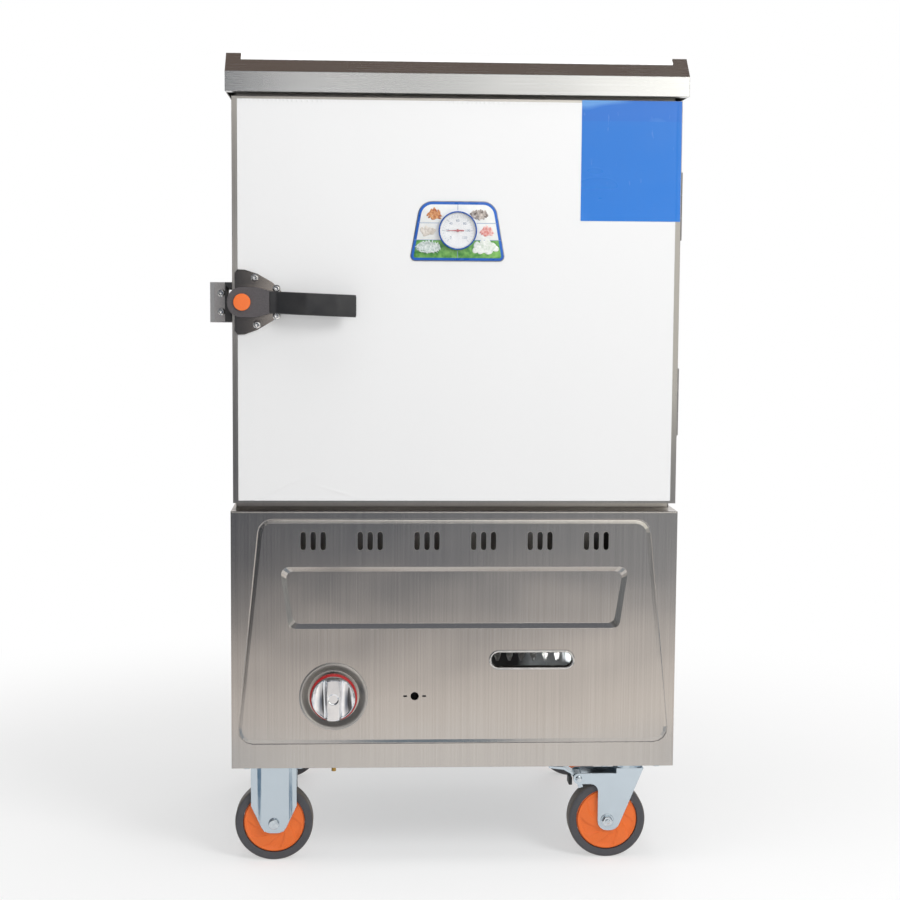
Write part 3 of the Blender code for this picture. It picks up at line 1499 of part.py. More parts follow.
def gas_knob():
    """Stem that pushes in, and on it the chromed knob with its red skirt."""
    slide = axis_point("knob_slide", (KNOB_X, 0.0, KNOB_LEVEL), ROOT)
    turning = axis_point("knob_axis", (KNOB_X, 0.0, KNOB_LEVEL), slide)
    place = (KNOB_X, 0.0, KNOB_LEVEL)
    skirt_back = -SHEET
    skirt_front = skirt_back - SKIRT_DEPTH
    knob_back = skirt_front - GAP
    face = knob_back - KNOB_DEPTH + KNOB_BAR_DEPTH
    stem_front = (knob_back + face) / 2
    stem_end = VALVE_FRONT + VALVE_BORE_DEPTH - KNOB_TRAVEL - RUNNING_GAP
    turned(
        "knob_stem",
        [
            (0.0, stem_end),
            (STEM_SHAFT_RADIUS, stem_end),
            (STEM_SHAFT_RADIUS, stem_front),
            (0.0, stem_front),
        ],
        12,
        "Y",
        place,
        ZINC,
        slide,
    )
    bore = STEM_SHAFT_RADIUS + GAP
    turned(
        "knob_skirt",
        [
            (bore, skirt_back),
            (SKIRT_RADIUS, skirt_back),
            (SKIRT_RADIUS, skirt_front),
            (bore, skirt_front),
        ],
        28,
        "Y",
        place,
        RED,
        turning,
        ring=True,
    )
    knob = turned(
        "gas_knob",
        [
            (0.0, knob_back),
            (KNOB_RADIUS, knob_back),
            (KNOB_RADIUS, face + KNOB_EDGE),
            (KNOB_RADIUS - KNOB_EDGE, face),
            (0.0, face),
        ],
        28,
        "Y",
        place,
        CHROME,
        turning,
    )
    half = KNOB_BAR_WIDTH / 2
    reach = KNOB_RADIUS - KNOB_EDGE_SHARE * KNOB_EDGE
    bar = front_slab(
        "join_knob_bar",
        rounded(
            [(-half, -reach), (half, -reach), (half, reach), (-half, reach)],
            [half / 2] * 4,
            steps=2,
        ),
        face - KNOB_BAR_DEPTH,
        face + KNOB_BAR_DEPTH,
        (KNOB_X, KNOB_LEVEL),
        None,
        turning,
    )
    hole = rod("cut_knob_bore", bore, stem_front - GAP, knob_back + OVERRUN, "Y", place, None, turning)
    return cut(join(knob, bar), hole)


# Door

def stem_hole(title, start, end, carrier):
    place = (0.0, 0.0, DIAL_LEVEL)
    radius = STEM_RADIUS + RUNNING_GAP
    return rod(f"cut_{title}_stem", radius, start, end, "Y", place, None, carrier, sides=12)


def pivot_hole(title, start, end, carrier):
    place = (LATCH_X, 0.0, LATCH_LEVEL)
    radius = PIVOT_RADIUS + RUNNING_GAP
    return rod(f"cut_{title}_pivot", radius, start, end, "Y", place, None, carrier)


def latch_plate_inset():
    """The plate stops a little short of the door's left edge."""
    return LATCH_INSET / 4


def door_pans(hinge):
    """Outer and inner pan of the door, with the foam between them."""
    outer = block(
        "door_outer_pan",
        (-DOOR_SIDE, 0.0, DOOR_BOTTOM),
        (DOOR_SIDE, DOOR_THICKNESS, DOOR_TOP),
        STEEL,
        hinge,
    )
    hollow = block(
        "cut_door",
        (SHEET - DOOR_SIDE, SHEET, DOOR_BOTTOM + SHEET),
        (DOOR_SIDE - SHEET, DOOR_THICKNESS + OVERRUN, DOOR_TOP - SHEET),
        None,
        hinge,
    )
    cut(
        outer,
        hollow,
        stem_hole("door", -OVERRUN, OVERRUN, hinge),
        pivot_hole("door", -OVERRUN, OVERRUN, hinge),
    )
    side = DOOR_SIDE - SHEET - GAP
    bottom, top = DOOR_BOTTOM + SHEET + GAP, DOOR_TOP - SHEET - GAP
    inner = block(
        "door_inner_pan",
        (-side, DOOR_THICKNESS - INNER_PAN_RETURN, bottom),
        (side, DOOR_THICKNESS, top),
        STEEL,
        hinge,
    )
    inner_hollow = block(
        "cut_inner_pan",
        (SHEET - side, DOOR_THICKNESS - INNER_PAN_RETURN - OVERRUN, bottom + SHEET),
        (side - SHEET, DOOR_THICKNESS - SHEET, top - SHEET),
        None,
        hinge,
    )
    cut(
        inner,
        inner_hollow,
        stem_hole("inner_pan", DOOR_THICKNESS - OVERRUN, DOOR_THICKNESS + OVERRUN, hinge),
    )
    foam_back = DOOR_THICKNESS - SHEET - GAP
    foam_side = side - SHEET - GAP
    foam = block(
        "door_insulation",
        (-foam_side, SHEET + GAP, bottom + SHEET + GAP),
        (foam_side, foam_back, top - SHEET - GAP),
        FOAM,
        hinge,
    )
    cut(
        foam,
        stem_hole("door_foam", -OVERRUN, foam_back + OVERRUN, hinge),
        pivot_hole("door_foam", -OVERRUN, PIVOT_LENGTH + OVERRUN, hinge),
    )


def door_gasket(hinge):
    """Rubber ring between the door and the flange of the chamber."""
    width = GASKET_WIDTH_SHARE * DOOR_LAP
    front = DOOR_THICKNESS + GAP
    gasket = block(
        "door_gasket",
        (-CHAMBER_SIDE - width, front, CHAMBER_FLOOR - width),
        (CHAMBER_SIDE + width, front + GASKET_THICKNESS, CHAMBER_TOP + width),
        RUBBER,
        hinge,
    )
    inside = block(
        "cut_gasket",
        (-CHAMBER_SIDE, front - OVERRUN, CHAMBER_FLOOR),
        (CHAMBER_SIDE, front + GASKET_THICKNESS + OVERRUN, CHAMBER_TOP),
        None,
        hinge,
    )
    return cut(gasket, inside)


def door_film(hinge):
    """Protective film over the door's front."""
    film = block(
        "door_film",
        (DOOR_FILM_SIDE_MARGIN - DOOR_SIDE, FILM_FRONT, DOOR_BOTTOM + DOOR_FILM_END_MARGIN),
        (DOOR_SIDE - DOOR_FILM_SIDE_MARGIN, FILM_FRONT + FILM, DOOR_TOP - DOOR_FILM_END_MARGIN),
        WHITE_FILM,
        hinge,
    )
    holes = [hole("film", -OVERRUN, OVERRUN, hinge) for hole in (stem_hole, pivot_hole)]
    return cut(film, *holes)


def thermometer(hinge):
    """Round dial thermometer on its D-shaped label, with the stem that reaches into the chamber."""
    corners = trapezoid(LABEL_TOP_WIDTH / 2, LABEL_BOTTOM_WIDTH / 2, LABEL_ABOVE, -LABEL_BELOW)
    radii = [LABEL_BOTTOM_RADIUS, LABEL_BOTTOM_RADIUS, LABEL_TOP_RADIUS, LABEL_TOP_RADIUS]
    label = front_slab(
        "thermometer_label",
        rounded(corners, radii, steps=5),
        LABEL_FRONT,
        LABEL_FRONT + LABEL_THICKNESS,
        (0.0, DIAL_LEVEL),
        BLUE_ENAMEL,
        hinge,
    )
    cut(label, stem_hole("label", 2 * LABEL_FRONT, OVERRUN, hinge))
    centre = (0.0, 0.0, DIAL_LEVEL)
    inside = CASE_RADIUS - CASE_RIM
    stem_end = DOOR_THICKNESS + GASKET_THICKNESS + STEM_REACH
    turned(
        "thermometer_case",
        [
            (0.0, stem_end),
            (STEM_RADIUS, stem_end),
            (STEM_RADIUS, CASE_BACK),
            (CASE_RADIUS, CASE_BACK),
            (CASE_RADIUS, CASE_FRONT),
            (inside, CASE_FRONT),
            (inside, CASE_FLOOR),
            (0.0, CASE_FLOOR),
        ],
        32,
        "Y",
        centre,
        BLUE_ENAMEL,
        hinge,
    )
    face = inside - GAP
    lens_back = CASE_FRONT + LENS_THICKNESS
    rod("thermometer_lens", face, CASE_FRONT, lens_back, "Y", centre, GLASS, hinge, sides=32)
    axis = axis_point("needle_axis", (0.0, NEEDLE_BACK, DIAL_LEVEL), hinge)
    half = NEEDLE_WIDTH / 2
    reach = NEEDLE_LENGTH_SHARE * face
    needle = front_slab(
        "thermometer_needle",
        [(-reach, 0.0), (0.0, -half), (reach / 2, -half), (reach / 2, half), (0.0, half)],
        NEEDLE_BACK - NEEDLE_THICKNESS,
        NEEDLE_BACK,
        (0.0, DIAL_LEVEL),
        RED,
        axis,
    )
    boss = rod(
        "join_needle_boss",
        NEEDLE_WIDTH,
        NEEDLE_BACK - 2 * NEEDLE_THICKNESS,
        CASE_FLOOR - GAP,
        "Y",
        centre,
        None,
        axis,
        sides=10,
    )
    join(needle, boss)


def latch_plate(hinge):
    """Bell-shaped base plate of the latch, rounded towards its left edge."""
    shares = (
        (-1.0, -0.88),
        (-0.88, -0.99),
        (-0.60, -0.98),
        (-0.10, -0.84),
        (0.50, -0.57),
        (1.0, -0.22),
        (1.0, 0.22),
        (0.50, 0.60),
        (-0.10, 0.86),
        (-0.60, 0.98),
        (-0.88, 0.99),
        (-1.0, 0.88),
    )
    half_width, half_height = LATCH_PLATE_WIDTH / 2, LATCH_PLATE_HEIGHT / 2
    outline = [(across * half_width, up * half_height) for across, up in shares]
    middle = latch_plate_inset() + half_width - DOOR_SIDE
    plate = front_slab(
        "latch_plate",
        outline,
        PLATE_FRONT,
        PLATE_FRONT + LATCH_PLATE_THICKNESS,
        (middle, LATCH_LEVEL),
        DARK_STEEL,
        hinge,
    )
    heads = []
    for number, (across, up) in enumerate(LATCH_SCREW_SHARES):
        place = (middle + across * half_width, PLATE_FRONT, LATCH_LEVEL + up * half_height)
        title = f"join_latch_screw_{number}"
        heads.append(screw_head(title, "Y", -1, SCREW_HEAD_HEIGHT, place, hinge))
    return cut(join(plate, *heads), pivot_hole("latch_plate", 2 * PLATE_FRONT, OVERRUN, hinge))


def latch_lever(hinge):
    """Lever head with its tongue and pivot, the orange cap and the grip, all turning together."""
    pivot = (LATCH_X, 0.0, LATCH_LEVEL)
    axis = axis_point("latch_axis", pivot, hinge)
    end_half = HEAD_END_HEIGHT / 2
    corners = [
        (-HEAD_RADIUS, -HEAD_RADIUS),
        (HEAD_LENGTH / 2, -HEAD_RADIUS),
        (HEAD_LENGTH, -end_half),
        (HEAD_LENGTH, end_half),
        (HEAD_LENGTH / 2, HEAD_RADIUS),
        (-HEAD_RADIUS, HEAD_RADIUS),
    ]
    edge = HEAD_EDGE_SHARE * HEAD_RADIUS
    radii = [edge, HEAD_RADIUS, 0.0, 0.0, HEAD_RADIUS, edge]
    head = front_slab(
        "latch_head",
        rounded(corners, radii, steps=6),
        HEAD_FRONT,
        HEAD_BACK,
        (LATCH_X, LATCH_LEVEL),
        GREY_IRON,
        axis,
    )
    rod(
        "latch_cap",
        CAP_BUTTON_RADIUS,
        HEAD_FRONT - GAP - CAP_BUTTON_DEPTH,
        HEAD_FRONT - GAP,
        "Y",
        pivot,
        ORANGE,
        axis,
        sides=24,
    )
    reach = HEAD_RADIUS + STRIKER_CLEARANCE + TONGUE_WIDTH / 2
    tongue = front_slab(
        "join_latch_tongue",
        stadium(reach, TONGUE_WIDTH),
        TONGUE_FRONT,
        TONGUE_FRONT + TONGUE_THICKNESS,
        (LATCH_X - reach / 2 + TONGUE_WIDTH / 2, LATCH_LEVEL),
        None,
        axis,
    )
    start = HEAD_BACK - HEAD_DEPTH / 2
    shaft = rod("join_latch_pivot", PIVOT_RADIUS, start, PIVOT_LENGTH, "Y", pivot, None, axis)
    join(head, tongue, shaft)
    latch_grip(axis)


def latch_grip(axis):
    """Black grip: a strap that steps away from the door and curls back at its end."""
    start = HEAD_LENGTH + GAP
    end = start + GRIP_LENGTH
    root = HEAD_FRONT + HEAD_DEPTH / 2
    out = root - GRIP_STAND_OFF
    curl = out + GRIP_THICKNESS
    step = GRIP_LENGTH / 5
    half = GRIP_THICKNESS / 2
    spine = [
        (start, root),
        (start + step / 2, root),
        (start + 2 * step, out),
        (end - step, out),
        (end, curl),
    ]
    line = rounded(spine, [0.0, step / 2, step, step, 0.0], steps=3, closed=False)
    upper, lower = [], []
    for i, point in enumerate(line):
        ahead = line[min(i + 1, len(line) - 1)] - line[max(i - 1, 0)]
        side = Vector((-ahead.y, ahead.x, 0.0)).normalized() * half
        if i == 0:
            side = Vector((0.0, half, 0.0))
        upper.append(point + side)
        lower.append(point - side)
    outline = lower + upper[::-1]
    place = (LATCH_X, 0.0, LATCH_LEVEL)
    grip = slab("latch_grip", outline, GRIP_HEIGHT, LYING, place, BLACK, axis)
    droop = GRIP_DROOP / GRIP_LENGTH
    for vertex in grip.data.vertices:
        vertex.co.z -= droop * max(vertex.co.x - start, 0.0)
    return grip


# Hinges

def hinge_leaf(title, level, side, carrier):
    """One leaf with its screws and its share of the knuckle; the door's leaf has the middle third."""
    face = (DOOR_SIDE if side < 0 else BODY_SIDE) + GAP
    third = HINGE_HEIGHT / 3
    ys = sorted((HINGE_Y, HINGE_Y + side * HINGE_LEAF_DEPTH))
    leaf = block(
        title,
        (face, ys[0], level - HINGE_HEIGHT / 2),
        (face + HINGE_LEAF_THICKNESS, ys[1], level + HINGE_HEIGHT / 2),
        STEEL,
        carrier,
    )
    middle = (HINGE_X, HINGE_Y, level)
    outer_thirds, middle_third = [(-1.5, -0.5), (0.5, 1.5)], [(-0.5, 0.5)]
    own, others = (outer_thirds, middle_third) if side > 0 else (middle_third, outer_thirds)
    room = HINGE_KNUCKLE_RADIUS + RUNNING_GAP
    for low, high in others:
        ends = (low * third - RUNNING_GAP, high * third + RUNNING_GAP)
        cut(leaf, rod(f"cut_{title}_{low}", room, *ends, "Z", middle, None, carrier, sides=12))
    for low, high in own:
        ends = (low * third + RUNNING_GAP / 2, high * third - RUNNING_GAP / 2)
        knuckle = rod(f"join_{title}_{low}", HINGE_KNUCKLE_RADIUS, *ends, "Z", middle, None, carrier, 12)
        join(leaf, knuckle)
    screw_y = HINGE_Y + side * (HINGE_LEAF_DEPTH + HINGE_KNUCKLE_RADIUS) / 2
    for sign in (-1, 1):
        place = (face + HINGE_LEAF_THICKNESS, screw_y, level + sign * HINGE_SCREW_SPACING / 2)
        head = screw_head(f"join_{title}_screw_{sign}", "X", 1, HINGE_SCREW_HEAD_HEIGHT, place, carrier)
        join(leaf, head)
    if side > 0:
        reach = HINGE_HEIGHT / 2 + HINGE_PIN_RADIUS
        join(leaf, rod(f"join_{title}_pin", HINGE_PIN_RADIUS, -reach, reach, "Z", middle, sides=10))
    else:
        bore = HINGE_PIN_RADIUS + GAP
        cut(leaf, rod(f"cut_{title}_bore", bore, -third, third, "Z", middle, None, carrier, sides=10))
    return leaf


def hinges(hinge):
    """Both hinges: body leaves with their pins, and door leaves that turn on them."""
    for title, share in HINGE_RISE_SHARES.items():
        level = DOOR_BOTTOM + share * DOOR_HEIGHT
        hinge_leaf(f"body_hinge_{title}", level, 1, None)
        hinge_leaf(f"door_hinge_{title}", level, -1, hinge)


# Keeper

def keeper():
    """Folded bracket on the body's left side with the black striker in front of it."""
    wall = -BODY_SIDE - GAP
    web = BODY_FRONT + KEEPER_SETBACK
    back = web + KEEPER_THICKNESS
    outer = wall - KEEPER_REACH
    outline = [
        (wall, web),
        (wall, back + KEEPER_FOOT),
        (wall - KEEPER_THICKNESS, back + KEEPER_FOOT),
        (wall - KEEPER_THICKNESS, back),
        (outer, back),
        (outer - KEEPER_LIP, back + KEEPER_LIP),
        (outer - KEEPER_LIP - KEEPER_THICKNESS, back + KEEPER_LIP - KEEPER_THICKNESS / 2),
        (outer - KEEPER_THICKNESS / 2, web),
    ]
    bottom = LATCH_LEVEL - (KEEPER_HEIGHT + KEEPER_THICKNESS) / 2
    middle = bottom + KEEPER_HEIGHT / 2
    bracket = slab("keeper_bracket", outline, KEEPER_HEIGHT, LYING, (0.0, 0.0, middle), DARK_STEEL)
    striker_top = bottom + KEEPER_THICKNESS + STRIKER_HEIGHT
    wedge_bottom = bottom + KEEPER_HEIGHT - WEDGE_HEIGHT
    left, right = wall - STRIKER_WIDTH, -DOOR_SIDE - STRIKER_CLEARANCE / 2
    window = block(
        "cut_keeper_window",
        (left, web - OVERRUN, striker_top),
        (wall - KEEPER_THICKNESS - GAP, back + KEEPER_LIP / 2, wedge_bottom),
    )
    heads = []
    for sign in (-1, 1):
        foot = (wall - KEEPER_THICKNESS, back + KEEPER_FOOT / 2, middle + sign * KEEPER_HEIGHT / 4)
        face = ((left + outer) / 2, web, middle + sign * KEEPER_SCREW_SHARE * KEEPER_HEIGHT)
        heads.append(screw_head(f"join_foot_screw_{sign}", "X", -1, SCREW_HEAD_HEIGHT, foot))
        heads.append(screw_head(f"join_web_screw_{sign}", "Y", -1, SCREW_HEAD_HEIGHT, face))
    cut(join(bracket, *heads), window)
    wedge_top = wedge_bottom + WEDGE_HEIGHT
    striker = [
        (left, bottom + KEEPER_THICKNESS),
        (right, bottom + KEEPER_THICKNESS),
        (right, striker_top),
        (left + STRIKER_SPINE, striker_top),
        (left + STRIKER_SPINE, wedge_bottom + WEDGE_HEIGHT / 2),
        (right, wedge_bottom),
        (right, wedge_top),
        (left, wedge_top),
    ]
    front_slab("keeper_striker", striker, PLATE_FRONT, web - GAP, (0.0, 0.0), BLACK)


# Casters

def caster_plate(title, x, y):
    """Top plate of a caster against the floor of the base, with its four bolts."""
    half_length, half_width = CASTER_PLATE_LENGTH / 2, CASTER_PLATE_WIDTH / 2
    plate = block(
        title,
        (x - half_length, y - half_width, CASTER_PLATE_BOTTOM),
        (x + half_length, y + half_width, CASTER_TOP),
        ZINC,
    )
    bolts = []
    for side in (-1, 1):
        for end in (-1, 1):
            place = (x + side * BOLT_SPACING_X / 2, y + end * BOLT_SPACING_Y / 2, CASTER_PLATE_BOTTOM)
            sink = CASTER_PLATE_THICKNESS / 2
            bolts.append(
                rod(f"bolt_{side}_{end}", BOLT_HEAD_RADIUS, -BOLT_HEAD_HEIGHT, sink, "Z", place, sides=6)
            )
    return join(plate, one_tool(f"join_{title}_bolts", bolts))


def axle(title, place, carrier):
    """Axle bolt through both cheeks, with a round head at each end, as a tool."""
    end = CHEEK_OUTSIDE
    profile = [
        (0.0, end + AXLE_HEAD_HEIGHT),
        (AXLE_HEAD_RADIUS, end + AXLE_HEAD_HEIGHT),
        (AXLE_HEAD_RADIUS, end - CHEEK_THICKNESS / 2),
        (AXLE_RADIUS, end - CHEEK_THICKNESS / 2),
        (AXLE_RADIUS, CHEEK_THICKNESS / 2 - end),
        (AXLE_HEAD_RADIUS, CHEEK_THICKNESS / 2 - end),
        (AXLE_HEAD_RADIUS, -end - AXLE_HEAD_HEIGHT),
        (0.0, -end - AXLE_HEAD_HEIGHT),
    ]
    return turned(title, profile, 12, "Y", place, None, carrier)


def wheel(corner, place, carrier):
    """Wheel with its tyre, turning about Y; it stands on one flat of the tyre."""
    sides = WHEEL_SIDES
    flat = math.cos(math.pi / sides)
    tread, inner = WHEEL_RADIUS / flat, (RIM_RADIUS + GAP) / flat
    half = WHEEL_WIDTH / 2
    tyre = [
        (inner, half),
        (tread - TYRE_CHAMFER, half),
        (tread, half - TYRE_CHAMFER),
        (tread, TYRE_CHAMFER - half),
        (tread - TYRE_CHAMFER, -half),
        (inner, -half),
    ]
    turned(f"tyre_{corner}", tyre, sides, "Y", place, RUBBER, carrier, ring=True, half_step=True)
    rim = RIM_RADIUS / flat
    face, hub = RIM_WIDTH / 2, HUB_WIDTH / 2
    bore = AXLE_RADIUS + GAP
    disc = [(bore, hub), (HUB_RADIUS, hub), (rim, face), (rim, -face), (HUB_RADIUS, -hub), (bore, -hub)]
    turned(f"wheel_{corner}", disc, sides, "Y", place, ORANGE, carrier, ring=True, half_step=True)


def fixed_casters():
    """Left casters: rigid forks with their axles and bolts, and the wheels."""
    for row, y in CASTER_ROWS.items():
        place = (-CASTER_X, y, WHEEL_RADIUS)
        title = f"fixed_fork_{row}"
        plate = caster_plate(title, -CASTER_X, y)
        top = CASTER_TOP - CASTER_PLATE_THICKNESS / 2 - WHEEL_RADIUS
        half, toe = FIXED_CHEEK_WIDTH / 2, FIXED_TOE_WIDTH / 2
        corners = [
            (-half, top),
            (-half, FIXED_TAPER_RISE),
            (-toe, -TOE_BELOW_AXLE),
            (toe, -TOE_BELOW_AXLE),
            (half, FIXED_TAPER_RISE),
            (half, top),
        ]
        outline = rounded(corners, [0.0, CHEEK_RADIUS, TOE_RADIUS, TOE_RADIUS, CHEEK_RADIUS, 0.0])
        cheeks = []
        for sign in (-1, 1):
            ys = sorted((y + sign * CHEEK_INSIDE, y + sign * CHEEK_OUTSIDE))
            cheeks.append(front_slab(f"join_{title}_{sign}", outline, *ys, (-CASTER_X, WHEEL_RADIUS)))
        join(plate, *cheeks, axle(f"join_{title}_axle", place, None))
        turning = axis_point(f"wheel_{row}_left_axis", place, ROOT)
        wheel(f"{row}_left", place, turning)


def swivel_plates():
    """Top plates of the right casters with their bearing races and king pins."""
    for row, y in CASTER_ROWS.items():
        title = f"swivel_plate_{row}"
        plate = caster_plate(title, CASTER_X, y)
        nut_top = SWIVEL_TOP - CHEEK_THICKNESS - GAP
        race_top = CASTER_TOP - CASTER_PLATE_THICKNESS / 2
        race_bottom = SWIVEL_TOP + GAP
        profile = [
            (0.0, race_top),
            (RACE_RADIUS, race_top),
            (RACE_RADIUS, race_bottom),
            (KINGPIN_RADIUS, race_bottom),
            (KINGPIN_RADIUS, nut_top),
            (KINGPIN_NUT_RADIUS, nut_top),
            (KINGPIN_NUT_RADIUS, nut_top - KINGPIN_NUT_HEIGHT),
            (0.0, nut_top - KINGPIN_NUT_HEIGHT),
        ]
        join(plate, turned(f"join_{title}_race", profile, 16, "Z", (CASTER_X, y, 0.0)))


def swivel_outline():
    """Side of the swivel fork, about the swivel axis in X and about the wheel's axle in Z."""
    top = SWIVEL_TOP - WHEEL_RADIUS
    toe = SWIVEL_TOE_WIDTH / 2
    lobe = ARM_LOBE_RADIUS
    arm_top = ARM_RISE + lobe
    arm_bottom = ARM_RISE - lobe
    corners = [
        (-SWIVEL_FORK_FRONT, top),
        (-SWIVEL_FORK_FRONT, arm_top),
        (-ARM_REACH - lobe, arm_top),
        (-ARM_REACH - lobe, arm_bottom),
        (-toe - CASTER_TRAIL, arm_bottom),
        (-toe - CASTER_TRAIL, -TOE_BELOW_AXLE),
        (toe - CASTER_TRAIL, -TOE_BELOW_AXLE),
        (SWIVEL_FORK_BACK, top),
    ]
    radii = [0.0, 0.0, lobe, lobe, CHEEK_RADIUS, TOE_RADIUS, TOE_RADIUS, 0.0]
    return rounded(corners, radii)


def brake_pedal(title, x, y, carrier):
    """Brake pedal on its pin through the fork's arms; pressing it turns the shoe towards the tyre."""
    pivot = (x - ARM_REACH, y, WHEEL_RADIUS + ARM_RISE)
    axis = axis_point(f"{title}_axis", pivot, carrier)
    reach_x, reach_z = ARM_REACH - CASTER_TRAIL, ARM_RISE
    tyre_reach = WHEEL_RADIUS / math.cos(math.pi / WHEEL_SIDES)
    shoe_length = math.hypot(reach_x, reach_z) - tyre_reach - BRAKE_CLEARANCE
    shoe_angle = math.atan2(-reach_z, reach_x) - PEDAL_TRAVEL
    shoe_half = PEDAL_HUB_RADIUS / 2
    along = Vector((math.cos(shoe_angle), math.sin(shoe_angle), 0.0))
    across = Vector((-along.y, along.x, 0.0)) * shoe_half
    shoe = [-across, along * shoe_length - across, along * shoe_length + across, across]
    tread_drop = PEDAL_THICKNESS
    tread = [
        (-PEDAL_REACH, PEDAL_RISE - tread_drop),
        (-PEDAL_REACH / 2, PEDAL_RISE - 2 * tread_drop),
        (0.0, 0.0),
        (0.0, tread_drop),
        (-PEDAL_REACH / 2, PEDAL_RISE - tread_drop / 2),
        (-PEDAL_REACH, PEDAL_RISE),
    ]
    half = PEDAL_WIDTH / 2
    hub = half - PEDAL_THICKNESS
    pedal = rod(title, PEDAL_HUB_RADIUS, -hub, hub, "Y", pivot, BLACK, axis, sides=12)
    place = (pivot[0], pivot[2])
    blade = front_slab(f"join_{title}_tread", tread, y - half, y + half, place, None, axis)
    block_shoe = front_slab(f"join_{title}_shoe", shoe, y - half / 2, y + half / 2, place, None, axis)
    end = CHEEK_OUTSIDE + PEDAL_PIN_HEAD
    pin = rod(f"join_{title}_pin", PEDAL_PIN_RADIUS, -end, end, "Y", pivot, None, axis, sides=12)
    return join(pedal, blade, block_shoe, pin)


def swivel_casters():
    """Right casters: swivel forks with axles, wheels and brake pedals."""
    for row, y in CASTER_ROWS.items():
        title = f"swivel_fork_{row}"
        swivel = axis_point(f"swivel_{row}_axis", (CASTER_X, y, WHEEL_RADIUS), ROOT)
        place = (CASTER_X, WHEEL_RADIUS)
        ends = (y - CHEEK_OUTSIDE, y + CHEEK_OUTSIDE)
        fork = front_slab(title, swivel_outline(), *ends, place, ZINC, swivel)
        between = block(
            f"cut_{title}_inside",
            (CASTER_X - 2 * ARM_REACH, y - CHEEK_INSIDE, 0.0),
            (CASTER_X + ARM_REACH, y + CHEEK_INSIDE, SWIVEL_TOP - CHEEK_THICKNESS),
            None,
            swivel,
        )
        hole = rod(
            f"cut_{title}_kingpin",
            KINGPIN_RADIUS + GAP,
            -OVERRUN,
            OVERRUN,
            "Z",
            (CASTER_X, y, SWIVEL_TOP),
            None,
            swivel,
        )
        wheel_place = (CASTER_X - CASTER_TRAIL, y, WHEEL_RADIUS)
        pin_place = (CASTER_X - ARM_REACH, y, WHEEL_RADIUS + ARM_RISE)
        pin_hole = rod(
            f"cut_{title}_pin",
            PEDAL_PIN_RADIUS + GAP,
            -2 * CHEEK_OUTSIDE,
            2 * CHEEK_OUTSIDE,
            "Y",
            pin_place,
            None,
            swivel,
            sides=12,
        )
        join(cut(fork, between, hole, pin_hole), axle(f"join_{title}_axle", wheel_place, swivel))
        turning = axis_point(f"wheel_{row}_right_axis", wheel_place, swivel)
        wheel(f"{row}_right", wheel_place, turning)
        brake_pedal(f"brake_pedal_{row}", CASTER_X, y, swivel)


def centre_on_floor():
    """Move the cabinet so that its origin lies on the floor under the middle of its box."""
    bpy.context.view_layer.update()
    graph = bpy.context.evaluated_depsgraph_get()
    corners = []
    for item in PARTS.objects:
        if item.type == "MESH":
            shown = item.evaluated_get(graph)
            corners += [shown.matrix_world @ vertex.co for vertex in shown.data.vertices]
    middle = [
        (min(corner[k] for corner in corners) + max(corner[k] for corner in corners)) / 2
        for k in range(2)
    ]
    ROOT.location = (-middle[0], -middle[1], 0.0)


def build():
    outer_shell()
    inner_liner()
    body_insulation()
    tray_rack(-1)
    tray_rack(1)
    steam_plate()
    water_tank()
    roof_cap()
    base_shell()
    base_front_panel()
    base_floor()
    gas_valve()
    burner()
    burner_shield()
    ignition_tube()
    flue_hood()
    float_box()
    float_valve()
    float_arm()
    float_box_lid()
    drain_valve()
    drain_lever()
    gas_knob()
    hinge = axis_point("door_hinge_axis", (HINGE_X, HINGE_Y, DOOR_BOTTOM), ROOT)
    door_pans(hinge)
    door_gasket(hinge)
    door_film(hinge)
    thermometer(hinge)
    latch_plate(hinge)
    latch_lever(hinge)
    hinges(hinge)
    keeper()
    fixed_casters()
    swivel_plates()
    swivel_casters()
    centre_on_floor()


build()
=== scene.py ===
"""Looks of the rice steamer cabinet, laid out as an add-on and run once as a script.

Lengths are in metres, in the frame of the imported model: X to the right, Y to the back, Z up.
Every new piece is a surface worked out from a formula, and its place is in its mesh.
"""

import json
import math

import bmesh
import bpy
import numpy as np
from bpy.props import FloatProperty, FloatVectorProperty, PointerProperty
from bpy.types import NodeSocket, Operator, Panel, PropertyGroup
from mathutils import Matrix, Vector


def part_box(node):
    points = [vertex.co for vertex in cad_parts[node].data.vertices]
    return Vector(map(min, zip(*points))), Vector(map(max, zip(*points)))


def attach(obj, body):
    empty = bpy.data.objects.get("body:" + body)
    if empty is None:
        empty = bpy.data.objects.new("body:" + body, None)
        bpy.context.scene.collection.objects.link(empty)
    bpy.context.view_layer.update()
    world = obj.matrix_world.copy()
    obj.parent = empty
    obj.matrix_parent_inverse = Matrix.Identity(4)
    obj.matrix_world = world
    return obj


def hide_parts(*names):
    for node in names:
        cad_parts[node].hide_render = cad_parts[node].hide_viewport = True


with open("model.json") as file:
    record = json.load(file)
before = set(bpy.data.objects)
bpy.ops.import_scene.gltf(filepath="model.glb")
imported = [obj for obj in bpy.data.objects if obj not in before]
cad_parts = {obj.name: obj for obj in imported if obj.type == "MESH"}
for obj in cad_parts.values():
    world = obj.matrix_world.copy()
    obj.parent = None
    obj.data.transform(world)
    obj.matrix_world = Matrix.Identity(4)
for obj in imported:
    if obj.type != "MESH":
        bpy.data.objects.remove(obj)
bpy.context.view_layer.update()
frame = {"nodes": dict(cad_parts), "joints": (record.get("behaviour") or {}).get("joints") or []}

bl_info = {
    "name": "Rice steamer cabinet looks",
    "version": (1, 0, 0),
    "blender": (4, 5, 0),
    "location": "3D View > Sidebar > Steamer",
    "description": "Dresses the packed rice steamer cabinet with its sheets, films, dial and wheels",
    "category": "Object",
}

